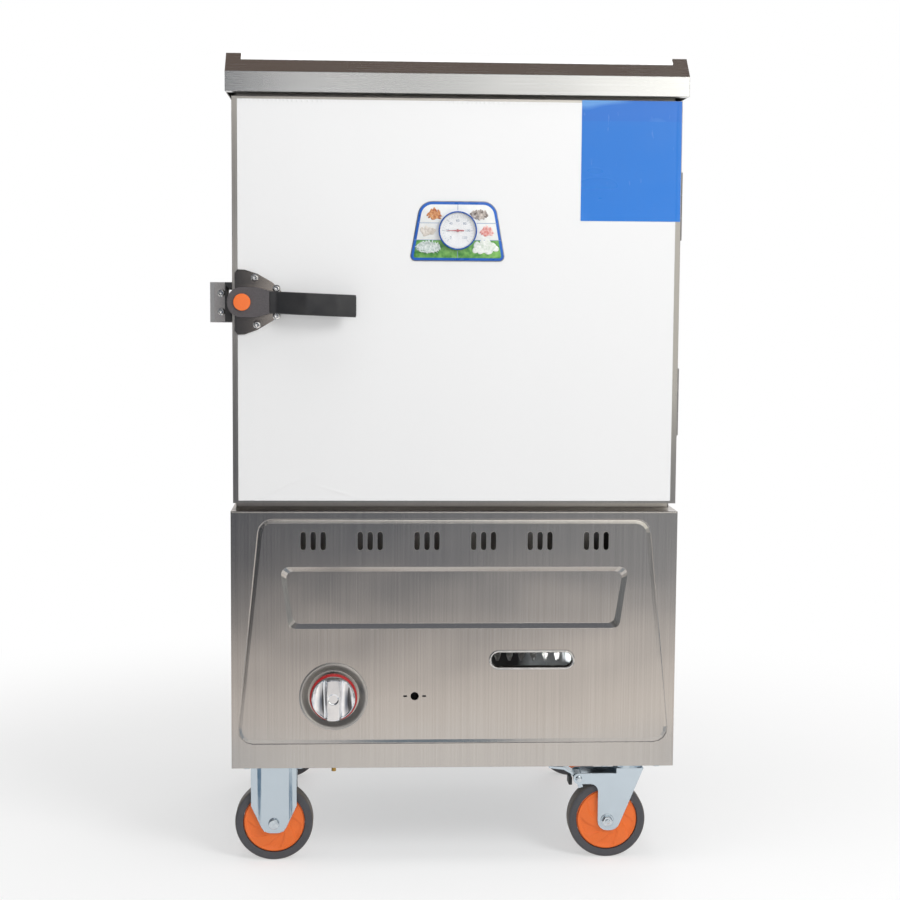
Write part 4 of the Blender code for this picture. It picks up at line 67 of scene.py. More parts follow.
PIVOTS = {
    joint["name"]: np.array(joint.get("pos_m", (0, 0, 0)), float) for joint in frame["joints"]
}
LATCH, DIAL, KNOB = (PIVOTS[name + "_turn"] for name in ("latch_lever", "thermometer_hand", "knob"))

MM = 0.001
WELD = 1e-6
TURN = 2 * math.pi
WHITE = (1.0, 1.0, 1.0, 1.0)
# Numbers of the colour inputs and the colour result of Blender's Mix node
MIX_A, MIX_B, MIX_RESULT = 6, 7, 2


def linear(code):
    """sRGB hex code as a linear colour with full opacity."""
    values = np.array([int(code[i : i + 2], 16) for i in (1, 3, 5)]) / 255
    lin = np.where(values <= 0.04045, values / 12.92, ((values + 0.055) / 1.055) ** 2.4)
    return (*lin.tolist(), 1.0)


def colour_property(name, description, code):
    limits = {"min": 0.0, "max": 1.0, "default": linear(code)}
    return FloatVectorProperty(name=name, description=description, subtype="COLOR", size=4, **limits)


def length_property(name, description, default):
    limits = {"min": 0.0, "default": default}
    return FloatProperty(name=name, description=description, unit="LENGTH", **limits)


class STEAMER_PG_sizes(PropertyGroup):
    """Sizes that a maker of this cabinet would change."""

    sticker_width: length_property("Sticker width", "Width of the blue sheet on the door", 0.1552)
    sticker_height: length_property("Sticker height", "Height of the blue sheet on the door", 0.184)
    sticker_thickness: length_property("Sticker thickness", "Thickness of the blue sheet", 0.00015)
    ripple_rise: length_property("Film ripple", "Rise of the bubbles at the film's top edge", 0.0008)
    wrinkle_rise: length_property("Film wrinkle", "Rise of the faint folds low on the film", 0.0005)
    roof_film_inset: length_property("Roof film inset", "Bare steel at each end of the roof", 0.023)
    roof_film_lap: length_property("Roof film lap", "How far the film comes down the slope", 0.011)
    label_border: length_property("Label border", "Width of the label's blue border", 0.0052)
    relief: length_property("Wheel relief", "Depth of the swirl pressed into the discs", 0.0017)
    fork_rib: length_property("Fork rib", "Rise of the pressed panel on a fixed fork", 0.0024)


class STEAMER_PG_colours(PropertyGroup):
    """Colours of the finishes, as sRGB codes turned to linear."""

    steel_light: colour_property("Steel, light", "Crests of the brushed lines", "#c8c2bc")
    steel_dark: colour_property("Steel, dark", "Valleys of the brushed lines", "#bdb7b1")
    film: colour_property("Protective film", "White film on the door and roof", "#f0f0f0")
    sticker: colour_property("Sticker", "Field of the printed sheet", "#1170c9")
    sticker_header: colour_property("Sticker header", "Band at the top of the sheet", "#166cc8")
    label: colour_property("Label border", "Printed border of the dial's label", "#1759b2")
    orange: colour_property("Wheel disc", "Moulded plastic of the discs and latch cap", "#fb7628")
    tyre: colour_property("Tyre", "Grey rubber of the wheels", "#4e4e52")
    black: colour_property("Grip", "Moulded black plastic", "#29292b")
    red: colour_property("Skirt", "Red skirt behind the knob", "#b4161b")
    zinc: colour_property("Zinc", "Blue bright zinc plating", "#cbd6de")


# Nodes and materials


def emptied(holder):
    """The node tree of a new material or world, without any nodes."""
    holder.use_nodes = True
    holder.node_tree.nodes.clear()
    return holder.node_tree


def add_node(tree, kind, settings=None, values=None, links=None):
    """One shader node with its settings, its fixed inputs and its incoming links."""
    node = tree.nodes.new("ShaderNode" + kind)
    for key, value in (settings or {}).items():
        setattr(node, key, value)
    for key, value in (values or {}).items():
        node.inputs[key].default_value = value
    for key, socket in (links or {}).items():
        tree.links.new(socket, node.inputs[key])
    return node


def combine(operation, first, second):
    """Result of a math node on two sockets."""
    settings, links = {"operation": operation}, {0: first, 1: second}
    return add_node(first.id_data, "Math", settings, None, links).outputs[0]


def spread(value, low=0.0, high=1.0, start=0.3, end=0.7):
    """A value read between start and end, set between low and high."""
    ends = {"From Min": start, "From Max": end, "To Min": low, "To Max": high}
    return add_node(value.id_data, "MapRange", None, ends, {"Value": value}).outputs[0]


def as_colour(value):
    """A linear colour, from an sRGB hex code or from four numbers."""
    return linear(value) if isinstance(value, str) else tuple(value)


def blend_colours(share, first, second):
    """Two colours mixed by a share; each is a hex code, four numbers or a socket."""
    values, links = {}, {0: share}
    for key, colour in ((MIX_A, first), (MIX_B, second)):
        if isinstance(colour, NodeSocket):
            links[key] = colour
        else:
            values[key] = as_colour(colour)
    return add_node(share.id_data, "Mix", {"data_type": "RGBA"}, values, links).outputs[MIX_RESULT]


def shade(colour, factor):
    """The same colour, darker or lighter."""
    return tuple(min(1.0, channel * factor) for channel in as_colour(colour)[:3]) + (1.0,)


class Finish:
    """A material under way, whose patterns are read from object coordinates."""

    def __init__(self, name, **values):
        self.material = bpy.data.materials.new(name)
        self.tree = emptied(self.material)
        named = {key.replace("_", " "): value for key, value in values.items()}
        self.shader = add_node(self.tree, "BsdfPrincipled", values=named)
        add_node(self.tree, "OutputMaterial", links={"Surface": self.shader.outputs[0]})
        self.place = add_node(self.tree, "TexCoord").outputs["Object"]

    def noise(self, scale, detail=2.0, stretch=(1.0, 1.0, 1.0)):
        """Value of a noise that is stretched along the axes; scale is in waves per metre."""
        scaled = add_node(self.tree, "Mapping", None, {"Scale": stretch}, {"Vector": self.place})
        values, links = {"Scale": scale, "Detail": detail}, {"Vector": scaled.outputs[0]}
        return add_node(self.tree, "TexNoise", None, values, links).outputs["Fac"]

    def axis(self, letter):
        """One of the three object coordinates."""
        return add_node(self.tree, "SeparateXYZ", links={"Vector": self.place}).outputs[letter]

    def done(self, colour, rough, heights, edge=0.0006):
        """The material with its colour, roughness, softened edges and bumps as (value, metres)."""
        normal = add_node(self.tree, "Bevel", {"samples": 4}, {"Radius": edge}).outputs[0]
        for value, distance in heights:
            links = {"Height": value, "Normal": normal}
            normal = add_node(self.tree, "Bump", None, {"Distance": distance}, links).outputs[0]
        for key, socket in (("Base Color", colour), ("Roughness", rough), ("Normal", normal)):
            self.tree.links.new(socket, self.shader.inputs[key])
        return self.material


def brushed_steel(name, light, dark, brush, rough, wave_rise=0.0002, edge=0.0012):
    """Stainless sheet drawn along one axis: straight fine lines, glare across them, slow waves.

    The real lines are about 0.1 mm apart. They are drawn 1.4 mm apart and 300 mm long, as fine as
    shows.
    """
    made = Finish(name, Metallic=1.0, Anisotropic=0.9)
    across, along = 700.0, 3.0
    lines = made.noise(1.0, 3.0, tuple(along if axis == brush else across for axis in "XYZ"))
    patches = made.noise(5.0, 1.5)
    scuffs = made.noise(40.0, 6.0, (1.0, 1.0, 0.5))
    colour = blend_colours(spread(lines), dark, light)
    colour = blend_colours(spread(scuffs, 0.0, 0.35, 0.70, 0.78), colour, shade(light, 1.2))
    streaks, smears = spread(lines, rough - 0.012, rough + 0.012), spread(patches, -0.02, 0.02)
    normal = add_node(made.tree, "NewGeometry").outputs["Normal"]
    # A little off the axis, so that faces square to it have a direction too
    direction = tuple(1.0 if axis == brush else 0.01 for axis in "XYZ")
    turned = {"operation": "CROSS_PRODUCT"}, {1: direction}, {0: normal}
    made.tree.links.new(
        add_node(made.tree, "VectorMath", *turned).outputs[0], made.shader.inputs["Tangent"]
    )
    heights = [(patches, wave_rise), (lines, 0.000002)]
    return made.done(colour, combine("ADD", streaks, smears), heights, edge)


def mill_steel(name, light, dark, rough):
    """Stainless sheet with its dull mill finish: fine grain and faint wiping marks."""
    made = Finish(name, Metallic=1.0)
    grain = made.noise(900.0, 3.0)
    wiping = made.noise(7.0, 1.0, (1.0, 1.0, 2.0))
    colour = blend_colours(spread(grain), dark, light)
    sheen = spread(wiping, rough - 0.03, rough + 0.05)
    return made.done(colour, sheen, [(wiping, 0.00004), (grain, 0.00001)])


def zinc_plate(name, tint, rough):
    """Blue bright zinc on pressed steel: cloudy spangle, a cool tint and small rub marks."""
    made = Finish(name, Metallic=1.0)
    cloud = made.noise(60.0, 4.0)
    rubs = made.noise(300.0, 3.0, (1.0, 1.0, 4.0))
    colour = blend_colours(spread(cloud), shade(tint, 0.92), tint)
    colour = blend_colours(spread(rubs, 0.0, 0.15, 0.60, 0.80), colour, "#9fb2bf")
    return made.done(colour, spread(cloud, rough - 0.05, rough + 0.05), [(cloud, 0.000008)], 0.0008)


def sooted_sheet(name, dark_until, pale_from):
    """Galvanised sheet, near black up to one x and pale grey from another x to its right end."""
    made = Finish(name)
    cloud = made.noise(90.0, 4.0)
    black = blend_colours(spread(cloud), "#0e0d0d", "#1d1b1a")
    pale = blend_colours(spread(cloud), "#c3c9cb", "#d8dcdd")
    share = spread(made.axis("X"), 0.0, 1.0, dark_until, pale_from)
    colour = blend_colours(share, black, pale)
    return made.done(colour, spread(cloud, 0.45, 0.65), [(cloud, 0.00004)])


def moulded(name, colour, rough, grain_size=0.0007, grain_depth=0.00003, wear=0.12):
    """Injection-moulded plastic: even colour, fine grain from the mould and a little dust."""
    made = Finish(name)
    grain = made.noise(1.0 / grain_size, 2.0)
    dust = made.noise(45.0, 4.0)
    body = blend_colours(spread(grain), shade(colour, 0.92), shade(colour, 1.06))
    body = blend_colours(spread(dust, 0.0, wear), body, "#b9b4ad")
    return made.done(body, spread(dust, rough - 0.05, rough + 0.08), [(grain, grain_depth)])


def plastic_film(name, colour):
    """Polyethylene film stuck on steel: white, a little waxy, with slow waves and trapped dust."""
    made = Finish(name)
    waves = made.noise(9.0, 3.0, (1.0, 1.0, 0.5))
    dust = made.noise(700.0, 2.0)
    tint = blend_colours(spread(dust, 0.0, 0.5, 0.70, 0.80), colour, "#cfcfca")
    return made.done(tint, spread(waves, 0.34, 0.46), [(waves, 0.0003), (dust, 0.00001)], 0.0002)


def tyre_rubber(name, colour):
    """Grey rubber: matt sides and a brownish, dusty tread, read from the piece's own wear."""
    made = Finish(name)
    grain = made.noise(900.0, 3.0)
    dirt = made.noise(70.0, 5.0)
    wear = add_node(made.tree, "Attribute", {"attribute_name": "wear"}).outputs["Fac"]
    body = blend_colours(spread(grain), shade(colour, 0.9), shade(colour, 1.12))
    body = blend_colours(combine("MULTIPLY", wear, spread(dirt, 0.25, 0.75)), body, "#7c6f60")
    return made.done(body, spread(dirt, 0.50, 0.66), [(grain, 0.00004)])


def printed_sheet(name, field, header, low, high):
    """Gloss-printed vinyl: a plain field, a header with a soft light sweep, and rubbed ink."""
    made = Finish(name, Coat_Weight=0.3, Coat_Roughness=0.2)
    height = made.axis("Z")
    sweep = made.noise(14.0, 1.0, (0.6, 1.0, 2.0))
    edge, blur = high - 0.17 * (high - low), 0.001
    swept = blend_colours(spread(sweep, 0.0, 0.55, 0.50, 0.62), header, "#7fb9ee")
    plain = blend_colours(spread(height, 0.0, 1.0, low, high), shade(field, 1.12), field)
    ink = blend_colours(spread(height, 0.0, 1.0, edge - blur, edge + blur), plain, swept)
    rubs = spread(made.noise(120.0, 5.0, (1.0, 1.0, 0.25)), 0.0, 0.4, 0.66, 0.80)
    ink = blend_colours(rubs, ink, "#a8c4ef")
    return made.done(ink, spread(sweep, 0.26, 0.40), [(sweep, 0.0002)], 0.0001)


def painted(name, first, second, rough, size, depth=0.00002):
    """A print or lacquer whose tone wanders between two colours over a given size."""
    made = Finish(name)
    mottle = made.noise(1.0 / size, 4.0)
    colour = blend_colours(spread(mottle), first, second)
    return made.done(colour, spread(mottle, rough - 0.05, rough + 0.05), [(mottle, depth)], 0.0003)


def polished(name, first, second, rough, size):
    """Plated or turned metal with faint prints and a slight drift of its tone."""
    made = Finish(name, Metallic=1.0)
    prints = made.noise(1.0 / size, 4.0)
    colour = blend_colours(spread(prints), first, second)
    return made.done(colour, spread(prints, rough, rough + 0.08, 0.45, 0.75), [(prints, 0.00001)])


def clear_lens(name):
    """Clear acrylic disc: only its gloss and a little dust are seen, so it is nearly see-through."""
    made = Finish(name, IOR=1.49, Alpha=0.10)
    dust = made.noise(400.0, 3.0)
    tint = blend_colours(spread(dust), "#ffffff", "#e6ebf0")
    return made.done(tint, spread(dust, 0.02, 0.12, 0.5, 0.8), [(dust, 0.000004)], 0.0002)


# Shapes


def grid_faces(rows, columns, wrap_rows, wrap_columns, first):
    """Corner numbers of the quads of a grid whose points are numbered row by row."""
    row = np.arange(rows if wrap_rows else rows - 1)
    column = np.arange(columns if wrap_columns else columns - 1)
    row, column = np.meshgrid(row, column, indexing="ij")
    next_row, next_column = (row + 1) % rows, (column + 1) % columns
    around = ((row, column), (row, next_column), (next_row, next_column), (next_row, column))
    corners = np.stack([r * columns + c for r, c in around], axis=-1)
    return (corners.reshape(-1, 4) + first).tolist()


def new_object(name, data):
    """An object for a mesh, a text, a lamp or a camera, in the scene."""
    made = bpy.data.objects.new(name, data)
    bpy.context.scene.collection.objects.link(made)
    return made


def ride_along(name, mesh, material, body, stands_for=()):
    """A finished mesh as an object at the origin that moves with a body."""
    mesh.materials.append(material)
    made = new_object(name, mesh)
    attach(made, body)
    if stands_for:
        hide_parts(*stands_for)
    return made


def piece(name, grids, material, body, stands_for=(), crease=0.6, wear=None):
    """One piece made of grids of points: (points, wrap rows, wrap columns, close both ends).

    Doubles at seams and poles are merged, and the closed shell is turned outwards.
    """
    corners, faces, first = [], [], 0
    for rows, wrap_rows, wrap_columns, capped in grids:
        count, width = rows.shape[:2]
        corners.append(rows.reshape(-1, 3))
        faces += grid_faces(count, width, wrap_rows, wrap_columns, first)
        last = first + (count - 1) * width
        if capped:
            faces += [list(range(start, start + width)) for start in (first, last)]
        first = last + width
    mesh = bpy.data.meshes.new(name)
    mesh.from_pydata(np.concatenate(corners).tolist(), [], faces)
    if wear is not None:
        values = mesh.attributes.new("wear", "FLOAT", "POINT").data
        values.foreach_set("value", wear.ravel().astype(np.float32))
    form = bmesh.new()
    form.from_mesh(mesh)
    bmesh.ops.remove_doubles(form, verts=form.verts, dist=WELD)
    bmesh.ops.recalc_face_normals(form, faces=form.faces)
    form.to_mesh(mesh)
    form.free()
    mesh.shade_smooth()
    mesh.set_sharp_from_angle(angle=crease)
    return ride_along(name, mesh, material, body, stands_for)


def bend(t):
    """Smooth step from 0 to 1 as t goes from 0 to 1."""
    t = np.clip(t, 0.0, 1.0)
    return t * t * (3.0 - 2.0 * t)


def wave(x, length, phase=0.0):
    """Sine of a way along waves of the given length."""
    return np.sin(TURN * x / length + phase)


def angles(count):
    """Even angles once round, without the last that meets the first."""
    return np.linspace(0.0, TURN, count, endpoint=False)


def points(x, y, z):
    """Coordinates of one shape, or brought to one shape, put together as points."""
    return np.stack(np.broadcast_arrays(x, y, z), axis=-1)


def rectangle(left, low, right, high):
    """Corners of a flat rectangle, once round from the lower left."""
    return [(left, low), (right, low), (right, high), (left, high)]


def rounded(corners, radii, steps=5, closed=True):
    """A flat line whose corners are arcs; a radius of zero keeps the corner."""
    corners = np.asarray(corners, float)
    line = []
    for i, (corner, radius) in enumerate(zip(corners, radii)):
        if radius == 0.0 or (not closed and i in (0, len(corners) - 1)):
            line.append(corner[None])
            continue
        before = corners[i - 1] - corner
        after = corners[(i + 1) % len(corners)] - corner
        lengths = np.linalg.norm(before), np.linalg.norm(after)
        before, after = before / lengths[0], after / lengths[1]
        half = math.acos(float(np.clip(before @ after, -1, 1))) / 2
        # Neighbouring arcs may not meet, so each takes less than half of a side
        reach = min(radius / math.tan(half), 0.49 * lengths[0], 0.49 * lengths[1])
        middle = before + after
        centre = corner + middle / np.linalg.norm(middle) * reach / math.cos(half)
        first, last = corner + before * reach - centre, corner + after * reach - centre
        swing = math.pi - 2 * half
        share = np.linspace(0.0, 1.0, steps + 1)[:, None]
        arm = first * np.sin((1 - share) * swing) + last * np.sin(share * swing)
        line.append(centre + arm / math.sin(swing))
    return np.concatenate(line)


def inset(outline, distance):
    """A closed flat outline drawn in along its corner normals by a small distance."""
    tiny = 1e-12
    ahead = np.roll(outline, -1, axis=0) - outline
    ahead /= np.maximum(np.linalg.norm(ahead, axis=1, keepdims=True), tiny)
    both = ahead + np.roll(ahead, 1, axis=0)
    normal = np.stack([-both[:, 1], both[:, 0]], axis=1)
    length = np.linalg.norm(normal, axis=1, keepdims=True)
    normal /= np.maximum(length, tiny)
    following = np.roll(outline, -1, axis=0)
    area = np.sum(outline[:, 0] * following[:, 1] - outline[:, 1] * following[:, 0])
    mitre = 1.0 / np.maximum(length / 2, 0.5)
    return outline + normal * mitre * distance * (1 if area > 0 else -1)


def upright(flat, centre, y):
    """A flat outline stood up in the XZ plane round a centre, at a depth."""
    return points(centre[0] + flat[:, 0], y, centre[2] + flat[:, 1])


def prism(flat, centre, back, front):
    """A flat outline as a thin solid between two depths."""
    return np.stack([upright(np.array(flat), centre, y) for y in (back, front)]), False, True, True


def plate(outline, centre, back, front, edge, steps=3):
    """A plate in the XZ plane whose front rim is a quarter circle of radius edge.

    Row by row: the outline at the back, then the outline drawn in by edge (1 - cos a) at the depth
    edge (1 - sin a) behind the front, for a from 0 to a right angle.
    """
    rings = [(0.0, back)]
    for a in np.linspace(0.0, math.pi / 2, steps + 1):
        rings.append((edge * (1 - math.cos(a)), front + edge * (1 - math.sin(a))))
    rows = [upright(inset(outline, distance), centre, y) for distance, y in rings]
    return np.stack(rows), False, True, True


def lathe(profile, centre, sides=96, closed=True):
    """A profile of (radius, y) carried round the Y axis through centre.

    A closed profile ends where it starts; an open one starts and ends on the axis.
    """
    profile = np.asarray(profile, float)
    angle = angles(sides)
    radius = profile[:, :1]
    x, z = centre[0] + radius * np.cos(angle), centre[2] + radius * np.sin(angle)
    return points(x, profile[:, 1:], z), closed, True, False


def dome(centre, across, up, rise, turn, rings=5, sides=14):
    """A flattened half ball: its height is rise times the root of 1 - t², with t 1 at the rim."""
    t = np.linspace(1.0, 0.0, rings)[:, None]
    angle = angles(sides)
    x, z = across * t * np.cos(angle), up * t * np.sin(angle)
    turned_x = x * math.cos(turn) - z * math.sin(turn)
    turned_z = x * math.sin(turn) + z * math.cos(turn)
    y = centre[1] - rise * np.sqrt(1 - t * t)
    return points(centre[0] + turned_x, y, centre[2] + turned_z), False, True, True


def rim_of(sheet):
    """The points round the edge of a sheet, in order."""
    return np.concatenate([sheet[0], sheet[1:, -1], sheet[-1, -2::-1], sheet[-2:0:-1, 0]])


def joined(front, back):
    """Two sheets of points and the strip that joins their rims, as three grids."""
    rims = np.stack([rim_of(front), rim_of(back)])
    return [(front, False, False, False), (back, False, False, False), (rims, False, True, False)]


def carried(section, spine, up):
    """A flat section (along the side direction and up) carried along a spine of (x, y) points."""
    ahead = np.gradient(spine, axis=0)
    ahead /= np.linalg.norm(ahead, axis=1, keepdims=True)
    x = spine[:, :1] + -ahead[:, 1:] * section[:, 0]
    y = spine[:, 1:] + ahead[:, :1] * section[:, 0]
    return points(x, y, up[:, None] + section[:, 1])


def dress(material, names):
    """Give CAD nodes a finish through their own material slots."""
    for name in names.split():
        for slot in frame["nodes"][name].material_slots:
            slot.link = "OBJECT"
            slot.material = material


# Operators


class SteamerOperator:
    """What the operators share."""

    bl_options = {"REGISTER", "UNDO"}


class STEAMER_OT_body_sheets(SteamerOperator, Operator):
    """Dress the upper cabinet's stainless sheets"""

    bl_idname = "steamer.body_sheets"
    bl_label = "Body sheets"

    def execute(self, context):
        colours = context.scene.steamer_colours
        light, dark = colours.steel_light, colours.steel_dark
        # Number 4 finish drawn along the sheet: even grey with straight lines
        dress(brushed_steel("cap_steel_drawn_along_x", "#dddcda", "#d2d0cd", "X", 0.26), "roof_cap")
        wall = brushed_steel("wall_steel_drawn_upright", light, dark, "Z", 0.30)
        dress(wall, "outer_shell door_outer_pan base_shell")
        liner = mill_steel("liner_steel_mill_finish", light, dark, 0.30)
        dress(liner, "inner_liner door_inner_pan tray_rack_left tray_rack_right steam_plate")
        dress(liner, "water_tank flue_hood float_box float_box_lid")
        dress(liner, "body_hinge_upper body_hinge_lower door_hinge_upper door_hinge_lower")
        foam = painted("wall_foam_cut", "#d9c98f", "#c9b67a", 0.8, 0.003, 0.0003)
        dress(foam, "body_insulation door_insulation")
        dress(moulded("door_seal_silicone", "#b9b8b2", 0.55), "door_gasket")
        return {"FINISHED"}


class STEAMER_OT_base_panel(SteamerOperator, Operator):
    """Dress the pressed base panel and what is seen through its openings"""

    bl_idname = "steamer.base_panel"
    bl_label = "Base panel"

    # Radius and depth behind the panel's face, in mm: a soft lip, a cone and a flat ring; then
    # back inside the sheet
    DISH = (
        (54.6, 0.3), (53.8, -0.3), (52.8, -0.9), (51.6, -1.2), (50.4, -1.1), (49.2, -0.6),
        (48.1, 0.2), (47.0, 1.2), (45.9, 2.3), (44.8, 3.5), (43.8, 4.8), (42.8, 6.0),
        (41.8, 6.7), (40.6, 7.0), (39.6, 7.15), (41.0, 7.5), (46.0, 7.4), (53.6, 0.9),
    )
    # Distance inside the slot's edge and depth, in mm: a bead, then the wall that turns in
    BEAD = (
        (-1.6, 0.2), (-0.9, -0.7), (0.2, -1.2), (1.4, -1.0), (2.3, -0.2), (2.8, 1.2), (3.0, 3.0),
        (3.0, 11.5), (0.2, 11.5), (-1.2, 1.0),
    )
    SLOT_WIDTH, SLOT_HEIGHT = 0.133, 0.0285
    SLOT_FROM_KNOB = (0.31255, 0.057324)
    FOLD_RADIUS, FOLD_SHEET = 0.0019, 0.0008

    def execute(self, context):
        colours = context.scene.steamer_colours
        light, dark = colours.steel_light, colours.steel_dark
        low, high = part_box("base_front_panel")
        panel = brushed_steel("panel_steel_drawn_upright", light, dark, "Z", 0.24, 0.0030, 0.0009)
        dress(panel, "base_front_panel")
        dish = [(radius * MM, low.y + depth * MM) for radius, depth in self.DISH]
        dull = mill_steel("dish_steel_dull", light, dark, 0.40)
        rim = polished("slot_rim_bright_edge", "#e4e1dd", "#cfcbc6", 0.16, 0.02)
        pieces = (
            ("dish_lip", [lathe(dish, KNOB)], dull),
            ("slot_rim", [self.slot_rows(low.y)], rim),
            ("panel_fold", self.fold(low, high), panel),
        )
        for name, grids, steel in pieces:
            piece(name, grids, steel, "cabinet", crease=1.2)
        dress(zinc_plate("floor_sheet_galvanised", "#b6bbbe", 0.38), "base_floor")
        dress(painted("burner_jets_cast_aluminium", "#c4c4c2", "#9d9d9a", 0.5, 0.004), "burner")
        dress(sooted_sheet("shield_sheet_sooted", 0.155, 0.180), "burner_shield")
        brass = polished("brass_turned", "#c8a35c", "#a9813f", 0.22, 0.012)
        dress(brass, "gas_valve float_valve float_arm drain_valve")
        dress(zinc_plate("small_fittings_zinc", colours.zinc, 0.32), "knob_stem")
        # The ignition tube is painted near black: painted shade for the dark hole it stands in
        dress(painted("tube_steel_sooted", "#242221", "#33302e", 0.55, 0.003), "ignition_tube")
        dress(moulded("lever_red_plastic", colours.red, 0.35), "drain_lever")
        return {"FINISHED"}

    def slot_rows(self, front):
        """The viewing slot's stadium, drawn in and sunk as the bead says."""
        width, height = self.SLOT_WIDTH, self.SLOT_HEIGHT
        corners = rectangle(-width / 2, -height / 2, width / 2, height / 2)
        stadium = rounded(corners, [height * 0.4999] * 4, 12)
        centre = (KNOB[0] + self.SLOT_FROM_KNOB[0], 0.0, KNOB[2] + self.SLOT_FROM_KNOB[1])
        rows = [upright(inset(stadium, d * MM), centre, front + y * MM) for d, y in self.BEAD]
        return np.stack(rows), True, True, False

    def fold(self, low, high):
        """The panel's top edge, folded over a small round and a hair outside the sheet."""
        radius, margin, lift = self.FOLD_RADIUS, 0.001, 0.0002
        turn = np.linspace(math.radians(-12), math.radians(100), 9)[:, None]
        across = np.linspace(low.x + margin, high.x - margin, 120)[None]
        y = low.y - lift + radius - radius * np.cos(turn)
        z = high.z + lift - radius + radius * np.sin(turn)
        outer = points(across, y, z)
        return joined(outer, outer + np.array([0.0, self.FOLD_SHEET, -self.FOLD_SHEET]))


class STEAMER_OT_door_film(SteamerOperator, Operator):
    """White protective film on the door, with small bubbles at its top edge and faint folds"""

    bl_idname = "steamer.door_film"
    bl_label = "Door film"

    def execute(self, context):
        """The front is y = y0 - rise(x, z).

        The rise is the sum of a row of small waves within a few millimetres of the top edge, which
        end at the sticker, and of long slanting ridges low on the left, each a bell curve across
        its line.
        """
        sizes, colours = context.scene.steamer_sizes, context.scene.steamer_colours
        low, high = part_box("door_film")
        x = np.linspace(low.x, high.x, 640)
        top = high.z - np.linspace(0.0, 0.012, 20)
        rest = np.linspace(high.z - 0.016, low.z + 0.10, 60)
        foot = np.linspace(low.z + 0.097, low.z, 60)
        x, z = np.meshgrid(x, np.concatenate([top, rest, foot]))
        wander = 1.9 * wave(x, 0.137) + 1.1 * wave(x, 0.061, 1.0)
        bubbles = np.maximum(0.0, wave(x, 0.0068, wander)) ** 2
        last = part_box("door_outer_pan")[1].x - sizes.sticker_width - 0.004
        bubbles = bubbles * (0.5 + 0.5 * wave(x, 0.31, 0.6)) * bend((last - x) / 0.008)
        rise = sizes.ripple_rise * bubbles * np.exp(-(((high.z - z - 0.0020) / 0.0016) ** 2))
        ridges = (
            (-0.262, 0.018, 0.55, 0.030),
            (-0.235, 0.030, 0.40, 0.022),
            (-0.17, 0.014, -0.3, 0.026),
        )
        for start, height, slope, reach in ridges:
            across = ((z - low.z - height) - slope * (x - start)) / 0.0016
            rise = rise + sizes.wrinkle_rise * np.exp(-(across**2) - ((x - start) / reach) ** 2)
        front = points(x, low.y - rise, z)
        rim = rim_of(front)
        back = points(rim[:, 0], high.y, rim[:, 2])
        strip = (np.stack([rim, back]), False, True, False)
        grids = [(front, False, False, False), strip, (back[None], False, True, True)]
        film = plastic_film("protective_film_white", colours.film)
        piece("door_film_sheet", grids, film, "door", ["door_film"])
        return {"FINISHED"}


class STEAMER_OT_roof_film(SteamerOperator, Operator):
    """White protective film that lies on the roof and laps over the slope"""

    bl_idname = "steamer.roof_film"
    bl_label = "Roof film"

    def execute(self, context):
        """A line up the slope and back over the roof, carried across, with slow low waves."""
        sizes = context.scene.steamer_sizes
        low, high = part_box("roof_cap")
        run, drop = 0.032, 0.031
        edge, thickness, lift = low.y + run, 0.0002, 0.00005
        slope = np.linspace(sizes.roof_film_lap, 0.0, 8)
        line = [(edge - run * s / drop, high.z - s) for s in slope]
        line += [(y, high.z) for y in np.linspace(edge + 0.004, high.y - 0.004, 40)]
        line = np.array(line)
        x = np.linspace(low.x + sizes.roof_film_inset, high.x - sizes.roof_film_inset, 90)
        y, x = np.meshgrid(line[:, 0], x, indexing="ij")
        z = np.broadcast_to(line[:, 1:], x.shape)
        ripple = 0.00015 * bend((y - edge) / 0.03) * (1 + wave(x, 0.11, 9 * y) * wave(y, 0.17))
        lower = points(x, y - lift, z + lift)
        upper = points(x, y - lift - thickness * 0.7, z + lift + thickness + ripple)
        film = bpy.data.materials["protective_film_white"]
        piece("roof_film_sheet", joined(lower, upper), film, "cabinet")
        return {"FINISHED"}


class STEAMER_OT_sticker(SteamerOperator, Operator):
    """Plain blue printed sheet in the door's top right corner"""

    bl_idname = "steamer.sticker"
    bl_label = "Door sticker"

    def execute(self, context):
        """y falls from the film to the bare strip as a smooth step, and rises at a lower corner."""
        sizes, colours = context.scene.steamer_sizes, context.scene.steamer_colours
        (pan_low, pan_high), (film_low, film_high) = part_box("door_outer_pan"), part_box("door_film")
        right, top = pan_high.x - 0.0009, pan_high.z - 0.0002
        x = np.linspace(right - sizes.sticker_width, right, 90)
        z = np.linspace(top - sizes.sticker_height, top, 100)
        x, z = np.meshgrid(x, z)
        base = film_low.y + (pan_low.y - film_low.y) * bend((x - film_high.x) / 0.002)
        corner = np.exp(-(((x - x.min()) / 0.010) ** 2) - ((z - z.min()) / 0.012) ** 2)
        lift = 0.00008 + 0.0005 * corner + 0.00006 * wave(x, 0.043, 12 * z) ** 2
        front, back = points(x, base - lift - sizes.sticker_thickness, z), points(x, base - lift, z)
        ends = float(z.min()), float(z.max())
        vinyl = printed_sheet("sticker_printed_vinyl", colours.sticker, colours.sticker_header, *ends)
        piece("door_sticker", joined(front, back), vinyl, "door")
        return {"FINISHED"}


